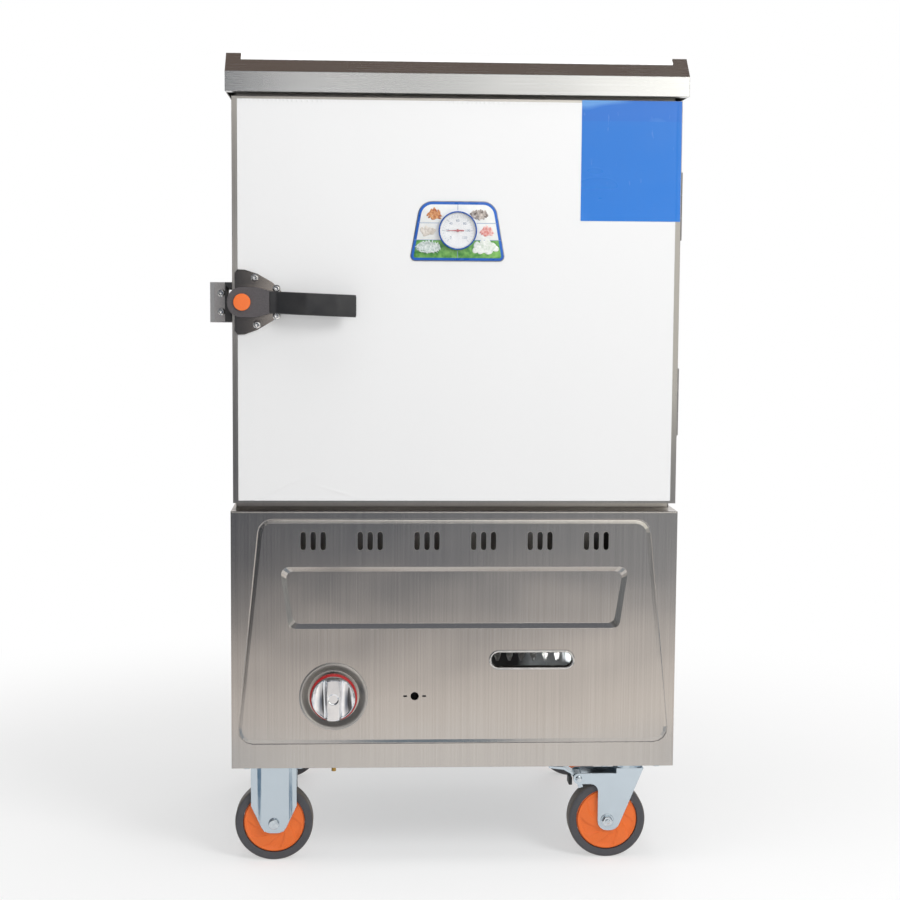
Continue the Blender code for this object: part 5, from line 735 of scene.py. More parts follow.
class STEAMER_OT_label(SteamerOperator, Operator):
    """D-shaped label round the dial: blue border, white and green fields and plain food shapes"""

    bl_idname = "steamer.label"
    bl_label = "Dial label"

    # Each food: two tones, then in mm the middle and the reach of the heap, the count of its domes
    # and their half width and half height
    FOODS = {
        "label_rolls": (("#a8481f", "#eab27a"), (-36, 24.5), (10.0, 7.4), 20, (3.8, 1.8)),
        "label_clams": (("#5f544e", "#ddd3ca"), (32.5, 24.5), (13.5, 6.6), 38, (2.8, 1.7)),
        "label_buns": (("#eee9e2", "#c2b8ac"), (-46, -1.2), (10.0, 6.0), 10, (4.2, 3.0)),
        "label_slices": (("#dc736b", "#f8dad4"), (45, -1.2), (9.0, 6.4), 20, (3.8, 1.8)),
        "label_rice": (("#f6f9f8", "#aebfba"), (-45, -25.5), (18.5, 8.6), 110, (3.0, 1.1)),
        "label_dumplings": (("#fcfcf9", "#cfdacb"), (42, -25.0), (16.5, 8.2), 14, (6.4, 4.8)),
    }
    LOWER, UPPER = 0.008, 0.023
    HALF_TOP = 0.058
    INK = 0.00012
    GOLDEN_ANGLE = 2.39996

    def execute(self, context):
        sizes, colours = context.scene.steamer_sizes, context.scene.steamer_colours
        low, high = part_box("thermometer_label")
        centre = np.array([DIAL[0], 0.0, DIAL[2]])
        top, bottom = high.z - centre[2], low.z - centre[2]
        half_bottom, front, border = (high.x - low.x) / 2, low.y, sizes.label_border
        lower, upper, split, face = self.LOWER, self.UPPER, -0.0145, front - self.INK

        def outline(margin, up=top, down=bottom, radii=(lower, lower, upper, upper)):
            """Trapezoid with rounded corners, drawn in by a margin and cut at two heights."""

            def half(level):
                share = (self.HALF_TOP - half_bottom) * (level - bottom) / (top - bottom)
                return half_bottom + share - margin

            up, down = min(up, top - margin), max(down, bottom + margin)
            corners = [(-half(down), down), (half(down), down), (half(up), up), (-half(up), up)]
            return rounded(corners, [max(radius - margin, 0.0) for radius in radii], 8)

        metal = polished("label_edge_aluminium", "#a9acb0", "#85888d", 0.3, 0.01)
        blue = painted("label_ink_blue", colours.label, shade(colours.label, 1.25), 0.3, 0.02)
        white = painted("label_ink_white", "#f4f4f2", "#e9ebe8", 0.35, 0.01)
        green = painted("label_ink_green", "#2c7a34", "#86bf62", 0.35, 0.007)
        above = outline(border, down=split, radii=(0.0, 0.0, upper, upper))
        below = outline(border, up=split, radii=(lower, lower, 0.0, 0.0))
        plates = (
            ("label_plate", metal, outline(0.0), high.y, front + 0.0003, 0.0004),
            ("label_border", blue, outline(0.0012), front + 0.0004, front, 0.0002),
            ("label_white_field", white, above, front, face, 0.0001),
            ("label_green_field", green, below, front, face, 0.0001),
        )
        for title, ink, shape, back, near, edge in plates:
            stands_for = ["thermometer_label"] if title == "label_plate" else ()
            grids = [plate(shape, centre, back, near, edge)]
            piece(title, grids, ink, "door", stands_for)
        line, inner, wide = 0.0004, 0.031, half_bottom - border
        bars = [(-line, inner, line, top - border), (-line, bottom + border, line, -inner)]
        for level, far, near in ((0.0115, 0.008, 0.002), (split, 0.001, 0.006)):
            bars.append((-wide + far, level - line, -inner + near, level + line))
            bars.append((inner - near, level - line, wide - far, level + line))
        grids = [prism(rectangle(*bar), centre, face, face - 0.00008) for bar in bars]
        grey_blue = painted("label_ink_grey_blue", "#8fa6c9", "#7c93b8", 0.35, 0.01)
        piece("label_dividers", grids, grey_blue, "door")
        for title, (tones, middle, reach, count, size) in self.FOODS.items():
            ink = painted(title + "_ink", *tones, 0.4, 0.0035)
            # The domes lie on a sunflower spiral, at the root of their number from the middle
            number = np.arange(count)
            swing, far = number * self.GOLDEN_ANGLE, np.sqrt((number + 0.5) / count)
            x = (middle[0] + reach[0] * far * np.cos(swing)) * MM
            z = (middle[1] + reach[1] * far * np.sin(swing)) * MM
            grids = []
            for k in number:
                spot, rise = centre + np.array([x[k], face, z[k]]), 0.0005 + 0.00002 * k
                grids.append(dome(spot, size[0] * MM, size[1] * MM, rise, 2.1 * swing[k]))
            piece(title, grids, ink, "door")
        return {"FINISHED"}


class STEAMER_OT_dial(SteamerOperator, Operator):
    """White dial face with its ring of marks and numbers, the case, the lens and the needle"""

    bl_idname = "steamer.dial"
    bl_label = "Thermometer dial"

    # 0 to 120 degrees run over 270 degrees of the dial, from lower left to lower right
    START, SWEEP, TOP = 225.0, 270.0, 120
    MARKS = 24
    CARD = 0.00015

    def execute(self, context):
        colours = context.scene.steamer_colours
        (low, high), (lens_low, lens_high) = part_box("thermometer_case"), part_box("thermometer_lens")
        floor, crown = DIAL[1] + 0.0008, low.y
        outer = (high.x - low.x) / 2
        radius = outer - 0.0020
        clear = radius - 0.0002
        rim = [(radius, floor), (radius, crown + 0.0006), (radius + 0.0005, crown)]
        rim += [(outer - 0.0006, crown), (outer, crown + 0.0007)]
        rim += [(outer, min(high.y, DIAL[1] + 0.002)), (0.004, floor + 0.0006), (0.004, floor)]
        lens = [(0.0, lens_high.y), (clear, lens_high.y)]
        lens += [(clear * t, lens_low.y + 0.0004 * t * t) for t in (1.0, 0.8, 0.6, 0.4, 0.2)]
        lens += [(0.0, lens_low.y)]
        card = rectangle(0.0026, floor, radius, floor - self.CARD)
        bezel = [(radius, floor - 0.0002), (radius, crown + 0.0012)]
        bezel += [(radius - 0.0005, crown + 0.0012), (radius - 0.0012, floor - 0.0002)]
        blue = painted("case_enamel_blue", shade(colours.label, 0.85), colours.label, 0.25, 0.03)
        glass = clear_lens("lens_clear_acrylic")
        white = painted("dial_card_white", "#fbfbfb", "#eff0f1", 0.4, 0.01)
        grey = painted("dial_bezel_grey", "#c9ccd1", "#aeb2b8", 0.3, 0.01)
        ink = painted("dial_ink_blue_grey", "#5f7ba3", "#4a668f", 0.4, 0.005)
        case, cover = ["thermometer_case"], ["thermometer_lens"]
        piece("case_ring", [lathe(rim, DIAL)], blue, "door", case, crease=0.8)
        piece("lens_disc", [lathe(lens, DIAL, closed=False)], glass, "door", cover)
        piece("dial_card", [lathe(card, DIAL)], white, "door")
        piece("dial_bezel", [lathe(bezel, DIAL)], grey, "door")
        dress(painted("needle_red_lacquer", "#c3242c", "#a51a22", 0.35, 0.004), "thermometer_needle")
        surface = floor - self.CARD
        marks = [self.mark(step, radius, surface) for step in range(self.MARKS + 1)]
        piece("dial_marks", marks, ink, "door")
        numbers = self.numbers(radius * 0.55, surface - 0.00004)
        ride_along("dial_numbers", numbers, ink, "door")
        return {"FINISHED"}

    def mark(self, step, radius, surface):
        """One line of the scale; each fourth is longer and wider."""
        angle = math.radians(self.START - self.SWEEP * step / self.MARKS)
        long = step % 4 == 0
        inner, outer = radius * (0.70 if long else 0.78), radius * 0.86
        along = np.array([math.cos(angle), math.sin(angle)])
        side = np.array([-along[1], along[0]]) * (0.00022 if long else 0.00012)
        near, far = inner * along, outer * along
        flat = [near - side, far - side, far + side, near + side]
        return prism(flat, DIAL, surface, surface - 0.00006)

    def numbers(self, reach, depth):
        """The numbers of the scale in one mesh, each stood up at its place."""
        form = bmesh.new()
        for number in range(0, self.TOP + 1, 20):
            angle = math.radians(self.START - self.SWEEP * number / self.TOP)
            words = bpy.data.curves.new("words", "FONT")
            words.body, words.size, words.extrude = str(number), 0.0052, 0.00004
            words.align_x = words.align_y = "CENTER"
            written = new_object("written", words)
            bpy.context.view_layer.update()
            graph = bpy.context.evaluated_depsgraph_get()
            flat = bpy.data.meshes.new_from_object(written.evaluated_get(graph))
            spot = (DIAL[0] + reach * math.cos(angle), depth, DIAL[2] + reach * math.sin(angle))
            flat.transform(Matrix.Translation(spot) @ Matrix.Rotation(math.pi / 2, 4, "X"))
            form.from_mesh(flat)
            bpy.data.objects.remove(written)
            bpy.data.meshes.remove(flat)
        mesh = bpy.data.meshes.new("dial_numbers")
        bmesh.ops.remove_doubles(form, verts=form.verts, dist=WELD)
        form.to_mesh(mesh)
        form.free()
        return mesh


class STEAMER_OT_latch(SteamerOperator, Operator):
    """Latch plate, head, cap and the rounded black grip"""

    bl_idname = "steamer.latch"
    bl_label = "Latch"

    # Radius and height over the plate: foot, shoulder, crown, then down into the socket
    SCREW = (
        (0.0060, -0.0004), (0.0060, 0.0004), (0.0055, 0.0009), (0.0046, 0.00135),
        (0.0037, 0.00178), (0.0031, 0.00182), (0.0026, 0.00174), (0.0, 0.00174),
    )
    # Places of the screws as shares of the latch plate's half width and half height
    PLATE_SCREWS = ((-0.20, 0.74), (0.66, 0.41), (-0.12, -0.68), (0.66, -0.41))
    PLATE_HALF_HEIGHT = 0.0505

    def execute(self, context):
        colours = context.scene.steamer_colours
        dark = brushed_steel("latch_plate_steel", "#958d86", "#7f7872", "X", 0.17, 0.0003, 0.0004)
        dress(dark, "latch_plate")
        casting = painted("latch_head_lacquer_grey", "#5c585a", "#4f4b4d", 0.42, 0.002, 0.00003)
        dress(casting, "latch_head")
        # The keeper's steel is painted lighter than the other steel: a painted highlight
        dress(mill_steel("keeper_steel", "#ece6e2", "#d6d0cc", 0.42), "keeper_bracket")
        plastic = moulded("grip_black_plastic", colours.black, 0.40, 0.0012, 0.00006, 0.03)
        dress(plastic, "keeper_striker")
        self.screws()
        rows = (self.grip_rows(), False, True, True)
        piece("grip_strap", [rows], plastic, "latch_lever", ["latch_grip"])
        low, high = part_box("latch_cap")
        radius, edge = (high.x - low.x) / 2, 0.0009
        profile = [(0.0, high.y), (radius, high.y), (radius, low.y + edge)]
        for a in np.linspace(0.0, 1.0, 7)[1:] * math.pi / 2:
            profile.append((radius - edge * (1 - math.cos(a)), low.y + edge * (1 - math.sin(a))))
        button = lathe([*profile, (0.0, low.y)], LATCH, 64, False)
        orange = moulded("cap_orange_polypropylene", colours.orange, 0.38, 0.0009, 0.00002, 0.03)
        piece("cap_button", [button], orange, "latch_lever", ["latch_cap"])
        return {"FINISHED"}

    @staticmethod
    def grip_rows():
        """A rounded rectangle carried along a line that steps out and curls back."""
        low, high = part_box("latch_grip")
        half, half_height = 0.005, 0.017
        start, end, out, root = low.x, high.x, low.y + half, high.y - half
        step = (end - start) / 5
        spine = [(start, root), (start + step / 2, root), (start + 2 * step, out)]
        spine += [(end - step, out), (end - 0.0005, out + 2 * half - 0.002)]
        line = rounded(spine, [0.0, step / 2, step, step, 0.0], 10, closed=False)
        way = np.concatenate([[0.0], np.cumsum(np.linalg.norm(np.diff(line, axis=0), axis=1))])
        even = np.linspace(0.0, way[-1], 70)
        line = np.stack([np.interp(even, way, line[:, i]) for i in (0, 1)], axis=1)
        section = rounded(rectangle(-half, -half_height, half, half_height), [0.0022] * 4, 5)
        droop = LATCH[2] - 0.005 * np.maximum(line[:, 0] - start, 0.0) / (end - start)
        rows = carried(section, line, droop)
        ends = []
        for edge, beside in ((0, 1), (-1, -2)):
            middle = rows[edge].mean(axis=0)
            shift = (middle - rows[beside].mean(axis=0)) * 0.35
            ends.append(middle + (rows[edge] - middle) * 0.86 + shift)
        return np.concatenate([ends[0][None], rows, ends[1][None]])

    def screws(self):
        """Domed screw heads with a round socket, over the plain heads of the plate and keeper."""
        (low, high), (foot_low, foot_high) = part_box("latch_plate"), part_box("keeper_bracket")
        middle, half = (low.x + high.x) / 2, (high.x - low.x) / 2
        on_plate = [
            (middle + a * half, high.y - 0.0025, LATCH[2] + b * self.PLATE_HALF_HEIGHT)
            for a, b in self.PLATE_SCREWS
        ]
        across, web = foot_high.x - 0.0215, foot_low.y + 0.0017
        level = (foot_low.z + foot_high.z) / 2
        on_keeper = [(across, web, level + side * 0.0145) for side in (-1, 1)]
        bright = polished("screw_steel_bright", "#e9e7e4", "#cfccc8", 0.18, 0.004)
        groups = (
            ("latch_screw_heads", on_plate, "door"),
            ("keeper_screw_heads", on_keeper, "cabinet"),
        )
        for title, places, body in groups:
            grids = []
            for place in places:
                head = [(radius, place[1] - height) for radius, height in self.SCREW]
                grids.append(lathe([(0.0, place[1] + 0.0004), *head], place, 32, False))
            piece(title, grids, bright, body, crease=0.5)


class STEAMER_OT_knob(SteamerOperator, Operator):
    """Chromed knob with its bar and scooped sides, and the red skirt behind it"""

    bl_idname = "steamer.knob"
    bl_label = "Gas knob"

    HUB_SHARE = 0.16

    def execute(self, context):
        """The front is a height over a disc of polar points (r, a).

        Across the middle stands a bar with steep smooth sides. Beside it the face sinks in a scoop
        whose depth is a sine of the way from the bar to the rim, and deeper towards the top.
        """
        colours = context.scene.steamer_colours
        low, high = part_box("gas_knob")
        radius, bar_half, bar_rise = (high.x - low.x) / 2, 0.0103, 0.006
        t = np.concatenate([np.linspace(0.0, 0.9, 46), np.linspace(0.91, 1.0, 12)])[:, None]
        angle = angles(160)
        x, z = radius * t * np.cos(angle), radius * t * np.sin(angle)
        beside = np.clip((np.abs(x) - bar_half) / (radius - bar_half), 0.0, 1.0)
        bar_share = 1.0 - bend((np.abs(x) - bar_half + 0.0008) / 0.0022)
        deeper = 0.65 + 0.35 * bend((z + radius) / (1.6 * radius))
        depth = 0.0075 * np.sin(np.pi * beside**0.75) * deeper
        height = bar_rise * bar_share - depth * (1.0 - bar_share)
        height = height - 0.0006 * (1.0 - bend((np.hypot(x, z - 0.002) - 0.0072) / 0.0012))
        shoulder = np.clip((t - 0.91) / 0.09, 0.0, 1.0)
        height = height * (1.0 - 0.25 * bend(shoulder)) - 0.0035 * (1.0 - np.sqrt(1.0 - shoulder**2))
        front = points(KNOB[0] + x, low.y + bar_rise - height, KNOB[2] + z)
        wall = front[-1:].copy()
        wall[..., 1] = high.y
        hub = wall.copy()
        for axis in (0, 2):
            hub[..., axis] = KNOB[axis] + (hub[..., axis] - KNOB[axis]) * self.HUB_SHARE
        chrome = polished("knob_chrome_plate", "#eeeeef", "#dcdde0", 0.05, 0.02)
        grids = [(np.concatenate([front, wall, hub]), False, True, False), (hub, False, True, True)]
        piece("knob_body", grids, chrome, "knob", ["gas_knob"])
        low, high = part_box("knob_skirt")
        corners = rectangle(0.0055, high.y, (high.x - low.x) / 2, low.y)
        profile = rounded(corners, [0.0, 0.001, 0.0022, 0.0], 6)
        red = moulded("skirt_red_phenolic", colours.red, 0.24, 0.001, 0.00001, 0.05)
        skirt = piece("skirt_ring", [lathe(profile, KNOB)], red, "knob", ["knob_skirt"])
        # The worn steel round the knob shows hardly any red
        skirt.visible_glossy = False
        return {"FINISHED"}


class STEAMER_OT_wheels(SteamerOperator, Operator):
    """Orange discs with a pressed swirl, and round grey tyres"""

    bl_idname = "steamer.wheels"
    bl_label = "Wheels"

    RIM, HUB_END, FACE = 0.049, 0.013, 0.0145
    TYRE_INNER, SHOULDER, BEAD = 0.0495, 0.0045, 0.001

    def execute(self, context):
        sizes, colours = context.scene.steamer_sizes, context.scene.steamer_colours
        orange = moulded("disc_orange_polypropylene", colours.orange, 0.40, 0.0009, 0.00002, 0.03)
        rubber = tyre_rubber("tyre_grey_rubber", colours.tyre)
        for corner in ("front_left", "rear_left", "front_right", "rear_right"):
            body = corner + "_wheel"
            axle = PIVOTS[body + "_roll"]
            rows, node = self.disc("wheel_" + corner, axle, sizes.relief), ["wheel_" + corner]
            piece("disc_" + corner, [rows], orange, body, node, crease=0.9)
            rows, wear = self.tyre("tyre_" + corner, axle)
            name, node = "tread_" + corner, ["tyre_" + corner]
            piece(name, [rows], rubber, body, node, crease=0.9, wear=wear)
        return {"FINISHED"}

    def disc(self, node, axle, relief):
        """A profile round the axle whose faces sink by a swirl.

        The swirl is a smooth step of the sine of five times the angle plus a spiral term in the
        logarithm of the radius, faded out at the hub and at the rim.
        """
        low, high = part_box(node)
        half = (high.y - low.y) / 2
        radius = [[0.0043], np.linspace(0.0048, 0.0125, 5), np.linspace(0.0135, 0.0466, 44)]
        radius = np.concatenate([*radius, [0.0472, 0.0474, 0.0475, self.RIM]])
        share = np.clip((radius - self.HUB_END) / (self.RIM - self.HUB_END), 0.0, 1.0)
        cone = half - 0.0002 - (half - self.FACE) * share
        cone[0] -= 0.0005
        # The edge drops 3 mm, so that a dark joint shows between the disc and the tyre
        cone[-4:] -= np.array([0.0001, 0.0005, 0.003, 0.003])
        r, a = np.meshgrid(radius, angles(160), indexing="ij")
        swirl = np.sin(5 * a + 4.6 * np.log(r / 0.02))
        window = bend((r - 0.020) / 0.006) * (1.0 - bend((r - 0.040) / 0.006))
        lip = 0.0006 * bend((r - 0.0448) / 0.001)
        depth = np.minimum(cone[:, None] - relief * bend((swirl + 0.15) / 0.4) * window + lip, half)
        x, z = axle[0] + r * np.cos(a), axle[2] + r * np.sin(a)
        front, back = points(x, axle[1] - depth, z), points(x, axle[1] + depth, z)
        return np.concatenate([front, back[::-1]]), True, True, False

    def tyre(self, node, axle):
        """A rounded profile round the axle, and how worn each of its points is."""
        low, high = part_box(node)
        half, outer = (high.y - low.y) / 2, (high.x - low.x) / 2
        inner, shoulder, bead = self.TYRE_INNER, self.SHOULDER, self.BEAD
        corners = [(inner, half - bead), (outer, half), (outer, -half), (inner, bead - half)]
        steps = 9
        profile = rounded(corners, [bead, shoulder, shoulder, bead], steps)
        crown = np.linspace(half - shoulder, shoulder - half, 18)[1:-1]
        tread = np.stack([np.full(len(crown), outer), crown], axis=1)
        upper = 2 * (steps + 1)
        profile = np.concatenate([profile[:upper], tread, profile[upper:]])
        profile[:, 1] += axle[1]
        grid = lathe(profile, axle, 144)
        reach = np.hypot(grid[0][..., 0] - axle[0], grid[0][..., 2] - axle[2])
        return grid, bend((reach - outer + 0.0022) / 0.002)


class STEAMER_OT_forks(SteamerOperator, Operator):
    """Zinc-plated forks, plates and pedals, with the pressed panel of the fixed forks"""

    bl_idname = "steamer.forks"
    bl_label = "Caster forks"

    # Outer face of a fork's cheek from the wheel's middle, for the two kinds of fork
    FIXED_CHEEK, SWIVEL_CHEEK = 0.0215, 0.0209
    # Levels and half widths of the pressed panel, which widens up to its shoulder
    FOOT, SHOULDER, TOP = 0.0495, 0.091, 0.158
    NARROW, WIDE = 0.0155, 0.0365
    BACK = -0.0004
    # Radius and height over the cheek
    RIVET = ((0.0, 0.0048), (0.0089, 0.0048), (0.0089, BACK), (0.0, BACK))
    WASHER = ((0.0, 0.0014), (0.0104, 0.0014), (0.0108, 0.001), (0.0108, BACK), (0.0, BACK))
    NUT = ((0.0, 0.0062), (0.0072, 0.0062), (0.0090, 0.0053), (0.0090, 0.0014), (0.0, 0.0014))
    BOLT = ((0.0, 0.0084), (0.0031, 0.0084), (0.0038, 0.0077), (0.0038, 0.0050), (0.0, 0.0050))
    PIN = ((0.0, 0.0024), (0.0034, 0.0023), (0.0052, 0.0014), (0.0056, BACK), (0.0, BACK))

    def execute(self, context):
        sizes, colours = context.scene.steamer_sizes, context.scene.steamer_colours
        zinc = zinc_plate("fork_zinc_blue_bright", colours.zinc, 0.22)
        for kind in ("fixed_fork", "swivel_plate", "swivel_fork", "brake_pedal"):
            dress(zinc, f"{kind}_front {kind}_rear")
        for row in ("front", "rear"):
            axle = PIVOTS[f"{row}_left_wheel_roll"]
            panels, heads = self.fixed_details(axle, sizes.fork_rib)
            piece(f"fork_panel_{row}", panels, zinc, "cabinet", crease=1.2)
            rivet = polished(f"rivet_zinc_{row}", "#dfe4e8", "#c3ccd3", 0.16, 0.006)
            piece(f"axle_rivet_{row}", heads, rivet, "cabinet")
            self.swivel_details(row, zinc, rivet)
        return {"FINISHED"}

    def fixed_details(self, axle, rib):
        """Pressed panels of a fixed fork, y = cheek - rise(x, z), and the rivet heads on them.

        The rise is a smooth step across each rib line and full between them.
        """
        level = self.FOOT + (self.TOP - self.FOOT) * np.linspace(0.0, 1.0, 48)[:, None]
        share = (level - self.FOOT) / (self.SHOULDER - self.FOOT)
        sloped = self.NARROW + (self.WIDE - self.NARROW) * share
        x = np.where(level < self.SHOULDER, sloped, self.WIDE) * np.linspace(-1.0, 1.0, 60)[None]
        rise = rib * bend((x + 0.0268) / 0.0075) * bend((0.0298 - x) / 0.0062)
        head = [(radius, self.FIXED_CHEEK + rib + height) for radius, height in self.RIVET]
        head = rounded(head, [0.0, 0.0036, 0.0, 0.0], 8, closed=False)
        panels, heads = [], []
        for side in (-1, 1):
            outer = points(axle[0] + x, axle[1] + side * (self.FIXED_CHEEK + rise), level)
            inner = outer.copy()
            inner[..., 1] = axle[1] + side * (self.FIXED_CHEEK + self.BACK)
            panels += joined(outer, inner)
            profile = np.stack([head[:, 0], axle[1] + side * head[:, 1]], axis=1)
            heads.append(lathe(profile, axle, 48, False))
        return panels, heads

    def swivel_details(self, row, zinc, bright):
        """Washer, nut and bolt end on the axle, rivet heads on the pedal's pin, and its tip."""
        axle, pin = PIVOTS[f"{row}_right_wheel_roll"], PIVOTS[f"{row}_pedal_press"]
        body, pedal = f"{row}_swivel", f"{row}_pedal"
        parts = (
            ("axle_washer", self.WASHER, axle, 48, zinc, body, 0.6),
            ("axle_nut", self.NUT, axle, 6, bright, body, 0.4),
            ("axle_end", self.BOLT, axle, 48, bright, body, 0.5),
            ("pedal_rivet", self.PIN, pin, 48, bright, pedal, 0.6),
        )
        for title, profile, place, sides, finish, rides_on, crease in parts:
            grids = []
            for side in (-1, 1):
                cheek = axle[1] + side * self.SWIVEL_CHEEK
                flat = [(radius, cheek + side * height) for radius, height in profile]
                grids.append(lathe(flat, place, sides, False))
            piece(f"{title}_{row}", grids, finish, rides_on, crease=crease)
        outline = rounded(rectangle(-0.0028, -0.0065, 0.0028, 0.0065), [0.0012] * 4, 4)
        place = (pin[0] - 0.0125, 0.0, pin[2] - 0.006)
        tip = plate(outline, place, pin[1] + 0.012, pin[1] - 0.012, 0.0008)
        rubber = moulded(f"pedal_tip_rubber_{row}", "#1d1d1f", 0.55)
        piece(f"pedal_tip_{row}", [tip], rubber, pedal)


class STEAMER_OT_stage(SteamerOperator, Operator):
    """Pale floor, soft studio light and the camera"""

    bl_idname = "steamer.stage"
    bl_label = "Stage"

    # Name, place, target, width, power in watts and fan in degrees
    LAMPS = (
        ("key_softbox", (1.73, -2.48, 2.25), (-0.1, -0.3, 0.85), 1.2, 40.0, 180.0),
        ("front_softbox", (-0.1, -3.1, 1.0), (0.05, -0.3, 0.45), 0.9, 9.0, 180.0),
        ("slot_snoot", (-1.1, -2.2, 0.62), (0.15, -0.32, 0.335), 0.12, 0.26, 5.0),
        ("top_softbox", (0.0, -0.5, 3.0), (0.0, 0.0, 0.9), 1.8, 30.0, 180.0),
        ("rear_softbox", (0.6, 2.6, 2.0), (0.0, 0.2, 0.8), 1.6, 26.0, 180.0),
    )
    SENSOR_MM, LENS_MM = 36.0, 69.884
    CAMERA_PLACE, CAMERA_ANGLES = (-0.13635, -3.0315, 0.9192), (2.977, 5.285, 0.403)
    FLOOR_REACH = 14.0

    def execute(self, context):
        scene = context.scene
        scene.view_settings.view_transform = "Standard"
        self.world(scene)
        self.floor()
        self.cards()
        for lamp in self.LAMPS:
            self.lamp(*lamp)
        self.camera(scene)
        return {"FINISHED"}

    @staticmethod
    def seen_directly(tree):
        """1 where the ray comes from the camera, a mirror or a glass, so these show the backdrop."""
        rays = add_node(tree, "LightPath").outputs
        first = combine("MAXIMUM", rays["Is Camera Ray"], rays["Is Glossy Ray"])
        return combine("MAXIMUM", first, rays["Is Transmission Ray"])

    def glow_from(self, tree, kind, dim):
        """White light, dimmed where it isn't seen directly."""
        strength = spread(self.seen_directly(tree), dim, 1.0, 0.0, 1.0)
        return add_node(tree, kind, None, {"Color": WHITE}, {"Strength": strength}).outputs[0]

    def world(self, scene):
        scene.world = bpy.data.worlds.new("studio_air")
        tree = emptied(scene.world)
        add_node(tree, "OutputWorld", links={"Surface": self.glow_from(tree, "Background", 0.44)})

    @staticmethod
    def sheet(name, corners, material):
        """A flat rectangle of the stage."""
        mesh = bpy.data.meshes.new(name)
        mesh.from_pydata(corners, [], [(0, 1, 2, 3)])
        mesh.materials.append(material)
        made = new_object(name, mesh)
        return made

    def floor(self):
        """Matt white near the cabinet, where it keeps the shadow, and glowing white far off."""
        material = bpy.data.materials.new("floor_paper_white")
        tree = emptied(material)
        place = add_node(tree, "TexCoord").outputs["Object"]
        length = add_node(tree, "VectorMath", {"operation": "LENGTH"}, None, {0: place})
        paper = {"Color": (0.93, 0.93, 0.93, 1.0), "Roughness": 0.3}
        near = add_node(tree, "BsdfDiffuse", values=paper).outputs[0]
        far = self.glow_from(tree, "Emission", 0.55)
        smooth = {"interpolation_type": "SMOOTHSTEP"}
        ends = {"From Min": 0.75, "From Max": 1.7, "To Min": 0.48}
        share = add_node(tree, "MapRange", smooth, ends, {"Value": length.outputs["Value"]})
        mixed = add_node(tree, "MixShader", links={0: share.outputs[0], 1: near, 2: far})
        add_node(tree, "OutputMaterial", links={"Surface": mixed.outputs[0]})
        reach = self.FLOOR_REACH
        corners = [(x, y, 0) for x, y in rectangle(-reach, -reach, reach, reach)]
        self.sheet("floor", corners, material)

    def cards(self):
        """Studio cards that only the metal sees: dark at the left, bright at the right and above."""
        front, above, side, back, foot = -3.3, 3.2, 3.3, 1.6, 0.004
        far, near = -2.3, -0.66
        fade = self.card_fade("card_fade")
        blue = self.card_grey("card_blue", "#71899c")
        # Name, finish, the axis that the card is square to, its place on that axis, and its
        # rectangle along the other two
        cards = (
            ("card_front", fade, 1, front, (-side, 0, side, above)),
            ("card_floor", fade, 2, foot, (-side, -1.15, side, front)),
            ("card_window", ("#ffffff", 2.6), 1, -3.29, (-0.45, 0.80, -0.1, 1.14)),
            ("card_foot_left", blue, 2, foot, (-0.95, -1.1, -0.47, 0.8)),
            ("card_foot_right", blue, 2, foot, (0.6, -1.1, 0.85, 0.8)),
            ("card_foot_middle", blue, 2, foot, (-0.15, -0.66, 0.13, -0.44)),
            ("card_left", ("#8e9499",), 0, -side, (front, 0, back, above)),
            ("card_right", ("#a3a8ac",), 0, side, (front, 0, back, above)),
            ("card_above", ("#6b594c",), 2, above, (-side, near, side, back)),
            ("card_before", ("#7f848d",), 2, above, (-side, far, side, near)),
            ("card_strip", fade, 2, above, (-side, front, side, far)),
        )
        for name, finish, axis, level, sides in cards:
            if isinstance(finish, tuple):
                finish = self.card_grey(name, *finish)
            corners = [(*flat[:axis], level, *flat[axis:]) for flat in rectangle(*sides)]
            card = self.sheet(name, corners, finish)
            for ray in ("camera", "diffuse", "transmission", "volume_scatter", "shadow"):
                setattr(card, "visible_" + ray, False)

    @staticmethod
    def card_grey(name, code, strength=1.0):
        material = bpy.data.materials.new(name)
        tree = emptied(material)
        glow = add_node(tree, "Emission", values={"Color": linear(code), "Strength": strength})
        add_node(tree, "OutputMaterial", links={"Surface": glow.outputs[0]})
        return material

    @staticmethod
    def card_fade(name):
        """Brighter to the right, towards the cabinet on the floor, and in a high band at right."""
        material = bpy.data.materials.new(name)
        tree = emptied(material)
        place = add_node(tree, "TexCoord").outputs["Object"]
        parts = add_node(tree, "SeparateXYZ", links={"Vector": place}).outputs
        x, y, z = parts["X"], parts["Y"], parts["Z"]

        def mix(value, start, end, first, second):
            """From the first colour at start to the second at end."""
            return blend_colours(spread(value, 0.0, 1.0, start, end), first, second)

        share = spread(x, 0.0, 1.0, -0.6, 0.9)
        share = combine("MULTIPLY", share, share)
        low = blend_colours(share, (0.10, 0.118, 0.155, 1), (0.46, 0.49, 0.53, 1))
        low = mix(z, 0.35, 0.50, low, mix(x, 0.72, 0.90, low, (1.9, 1.92, 1.80, 1)))
        high = mix(x, -0.75, 0.75, (0.20, 0.21, 0.23, 1), (2.7, 2.7, 2.62, 1))
        high = mix(z, 2.1, 2.6, high, (0.22, 0.23, 0.25, 1))
        floor = mix(x, -0.9, 0.9, (0.88, 0.84, 0.81, 1), (1.36, 1.29, 1.21, 1))
        nearer = combine("ADD", spread(y, 0.0, 0.94, -3.1, -0.9), spread(z, 0.06, 0.0, 0.0, 0.13))
        tone = blend_colours(nearer, mix(z, 1.30, 1.55, low, high), floor)
        left, right = spread(x, 0.15, 1.0, -1.15, -0.95), spread(x, 1.0, 0.2, 1.70, 2.10)
        ends = combine("MULTIPLY", left, right)
        glow = add_node(tree, "Emission", links={"Color": tone, "Strength": ends})
        add_node(tree, "OutputMaterial", links={"Surface": glow.outputs[0]})
        return material

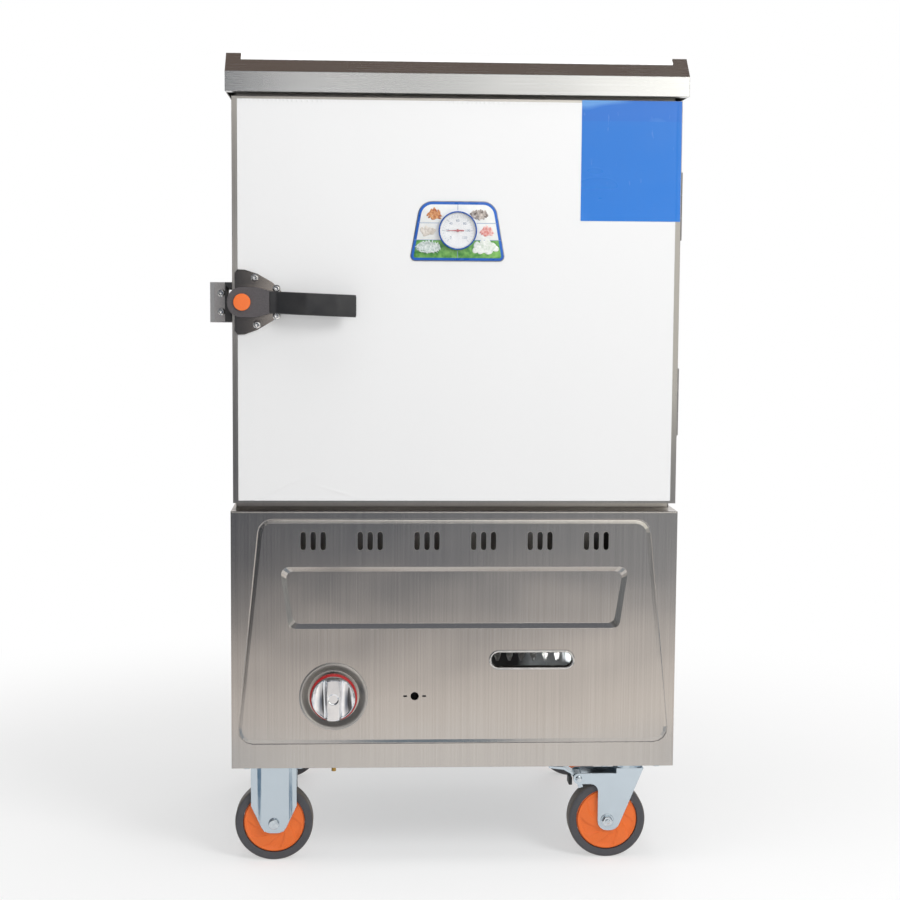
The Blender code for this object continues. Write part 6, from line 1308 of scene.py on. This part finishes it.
    @staticmethod
    def turned(place, side, up, back):
        """Placement of a lamp or camera from its own three directions."""
        columns = np.stack([side, up, back], axis=1)
        return Matrix.Translation(place) @ Matrix([list(row) for row in columns]).to_4x4()

    def lamp(self, name, place, target, size, power, fan):
        light = bpy.data.lights.new(name, "AREA")
        light.shape, light.size, light.energy = "SQUARE", size, power
        light.spread = math.radians(fan)
        back = np.array(place, float) - np.array(target, float)
        back /= np.linalg.norm(back)
        side = np.cross((0.0, 0.0, 1.0), back)
        side /= np.linalg.norm(side)
        lamp = new_object(name, light)
        lamp.matrix_world = self.turned(place, side, np.cross(back, side), back)
        lamp.visible_glossy = False

    def camera(self, scene):
        """Camera at the photograph's place: it looks a little to the right and down."""
        data = bpy.data.cameras.new("camera")
        data.sensor_width, data.lens = self.SENSOR_MM, self.LENS_MM
        yaw, pitch, roll = (math.radians(value) for value in self.CAMERA_ANGLES)
        ahead = (math.sin(yaw) * math.cos(pitch), math.cos(yaw) * math.cos(pitch), -math.sin(pitch))
        ahead, level = np.array(ahead), np.array([math.cos(yaw), -math.sin(yaw), 0.0])
        upright = np.cross(level, ahead)
        right = math.cos(roll) * level + math.sin(roll) * upright
        up = -math.sin(roll) * level + math.cos(roll) * upright
        scene.camera = new_object("camera", data)
        scene.camera.matrix_world = self.turned(self.CAMERA_PLACE, right, up, -ahead)


class STEAMER_PT_sidebar(Panel):
    """Lists the sizes, the colours and the steps"""

    bl_idname = "STEAMER_PT_sidebar"
    bl_label = "Steamer cabinet"
    bl_space_type = "VIEW_3D"
    bl_region_type = "UI"
    bl_category = "Steamer"

    def draw(self, context):
        layout = self.layout
        for group in (context.scene.steamer_sizes, context.scene.steamer_colours):
            box = layout.box()
            for name in group.bl_rna.properties.keys():
                if name not in ("rna_type", "name"):
                    box.prop(group, name)
        for step in STEPS:
            layout.operator(step.bl_idname)


STEPS = (
    STEAMER_OT_stage,
    STEAMER_OT_body_sheets,
    STEAMER_OT_base_panel,
    STEAMER_OT_door_film,
    STEAMER_OT_roof_film,
    STEAMER_OT_sticker,
    STEAMER_OT_label,
    STEAMER_OT_dial,
    STEAMER_OT_latch,
    STEAMER_OT_knob,
    STEAMER_OT_wheels,
    STEAMER_OT_forks,
)
CLASSES = (STEAMER_PG_sizes, STEAMER_PG_colours, *STEPS, STEAMER_PT_sidebar)


def register():
    for item in CLASSES:
        bpy.utils.register_class(item)
    bpy.types.Scene.steamer_sizes = PointerProperty(type=STEAMER_PG_sizes)
    bpy.types.Scene.steamer_colours = PointerProperty(type=STEAMER_PG_colours)


def unregister():
    del bpy.types.Scene.steamer_colours
    del bpy.types.Scene.steamer_sizes
    for item in reversed(CLASSES):
        bpy.utils.unregister_class(item)


def main():
    """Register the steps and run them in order."""
    register()
    for step in STEPS:
        group, name = step.bl_idname.split(".")
        getattr(getattr(bpy.ops, group), name)()


if __name__ == "__main__":
    main()
